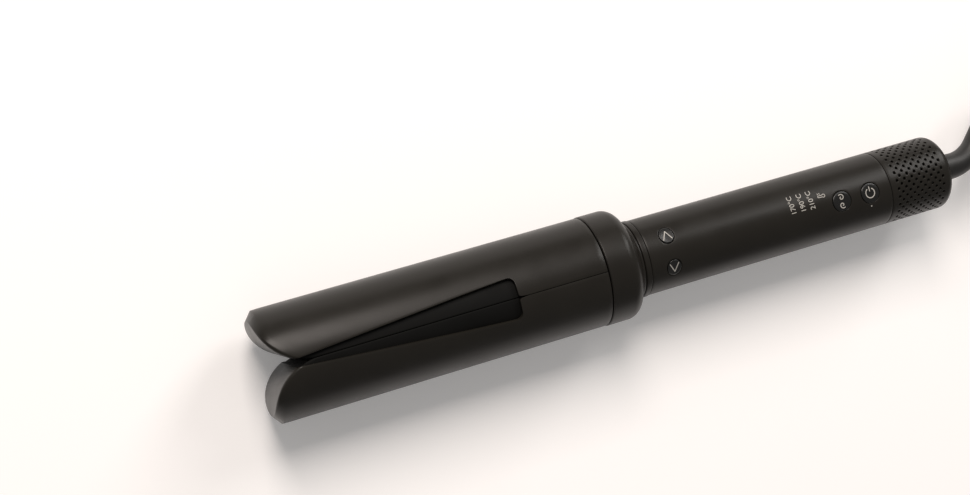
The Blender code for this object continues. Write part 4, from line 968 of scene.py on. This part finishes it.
def makePrints():
    wide = marks["arrowWidth"]
    for name, flip in (("key_up", 1), ("key_down", -1)):
        arrow = [(x, y * flip) for x, y in marks["arrow"]]
        makePrint(name + "_mark", [stroke(arrow[:2], wide), stroke(arrow[1:], wide)], onKey(name), name)
    for heat, x in marks["heats"].items():
        makePrint("mark_" + heat, [typeset(heat + "\u00b0C", marks["lettering"])],
                  onHandle(x, marks["heatAcross"], 90), "handle")
    thermometer = [[(-0.42, -0.5), (-0.42, 1.4)], [(0.42, -0.5), (0.42, 1.4)],
                   arc((0, 1.4), 0.42, 0, 180, 8), arc((0, -1.1), 0.74, 125, 415, 18),
                   [(1.0, 1.5), (1.6, 1.5)], [(1.0, 0.6), (1.6, 0.6)]]
    makePrint("mark_heat", [stroke(line, marks["glassWidth"]) for line in thermometer],
              onHandle(*marks["glass"], 90), "handle")
    curls = []
    for flip in (1, -1):
        curl = []
        for t in np.linspace(0, 2.1 * math.pi, 36):
            r = 0.3 + 0.19 * t
            curl.append((r * math.cos(t + 1.9) * flip, flip * (marks["curlApart"] + r * math.sin(t + 1.9))))
        curls.append(stroke(curl, marks["curlWidth"]))
    makePrint("mode_mark", curls, onKey("mode_button"), "mode_button")
    power = [arc((0, 0), marks["powerRadius"], 122, 418, 44), [(0, 0.9), (0, 2.9)]]
    makePrint("power_mark", [stroke(line, marks["powerWidth"]) for line in power],
              onKey("power_button"), "power_button")
    dot = [stroke([(-0.02, 0), (0.02, 0)], marks["dotWidth"])]
    makePrint("mark_dot", dot, onHandle(*marks["dot"]), "handle")


makePrints()
print("keys and prints made")


# Finishes of the frame's own parts

def dressFrame():
    slotOf = {part["node"]: part["material_slot"] for part in frame["record"]["subparts"]}
    for name, thing in frame["nodes"].items():
        thing.data.materials.clear()
        thing.data.materials.append(slotFinish[slotOf[name]])
        thing.data.shade_smooth()
        thing.data.set_sharp_from_angle(angle=math.radians(32))


dressFrame()


# Studio

def plainFinish(name, colour, rough, glow):
    material = bpy.data.materials.new(name)
    material.use_nodes = True
    tree = material.node_tree
    tree.nodes.clear()
    place = add(tree, "ShaderNodeTexCoord").outputs["Object"]
    paper = add(tree, "ShaderNodeTexNoise", {"Vector": place, "Scale": 900.0, "Detail": 2.0})
    bump = add(tree, "ShaderNodeBump", {"Height": paper.outputs["Fac"], "Strength": 0.1,
                                        "Distance": 0.1 * mm})
    shader = add(tree, "ShaderNodeBsdfPrincipled", {"Base Color": linear(colour), "Roughness": rough,
                                                    "Emission Color": linear(colour),
                                                    "Emission Strength": glow,
                                                    "Normal": bump.outputs["Normal"]})
    add(tree, "ShaderNodeOutputMaterial", {"Surface": shader.outputs[0]})
    return material


def softbox(name, place, target, size, power, colour):
    data = bpy.data.lights.new(name, "AREA")
    data.shape = "RECTANGLE"
    data.size, data.size_y = size
    data.energy = power
    data.color = linear(colour)[:3]
    light = bpy.data.objects.new(name, data)
    light.location = place
    light.rotation_euler = (Vector(target) - Vector(place)).to_track_quat("-Z", "Y").to_euler()
    scene.collection.objects.link(light)


def makeStudio():
    mesh = bpy.data.meshes.new("studio_floor")
    reach = 6.0
    mesh.from_pydata([(-reach, -reach, 0), (reach, -reach, 0), (reach, reach, 0), (-reach, reach, 0)],
                     [], [(0, 1, 2, 3)])
    mesh.materials.append(plainFinish("pale_paper", "F3F1F0", 0.8, 0.2))
    floor = bpy.data.objects.new("studio_floor", mesh)
    scene.collection.objects.link(floor)
    softbox("head_softbox", (-0.16, 1.3, 1.56), (-0.16, 0, 0.03), (0.66, 1.1), 33, "FFF5EE")
    softbox("handle_softbox", (1.68, 1.34, 1.44), (0.55, 0, 0.03), (0.8, 1.5), 26, "FFFCF9")
    air = bpy.data.worlds.new("studio_air")
    air.use_nodes = True
    air.node_tree.nodes["Background"].inputs["Color"].default_value = linear("F3F1EF")
    air.node_tree.nodes["Background"].inputs["Strength"].default_value = 0.27
    scene.world = air
    scene.view_settings.view_transform = "Standard"
    scene.view_settings.look = "None"


makeStudio()
print("studio made")
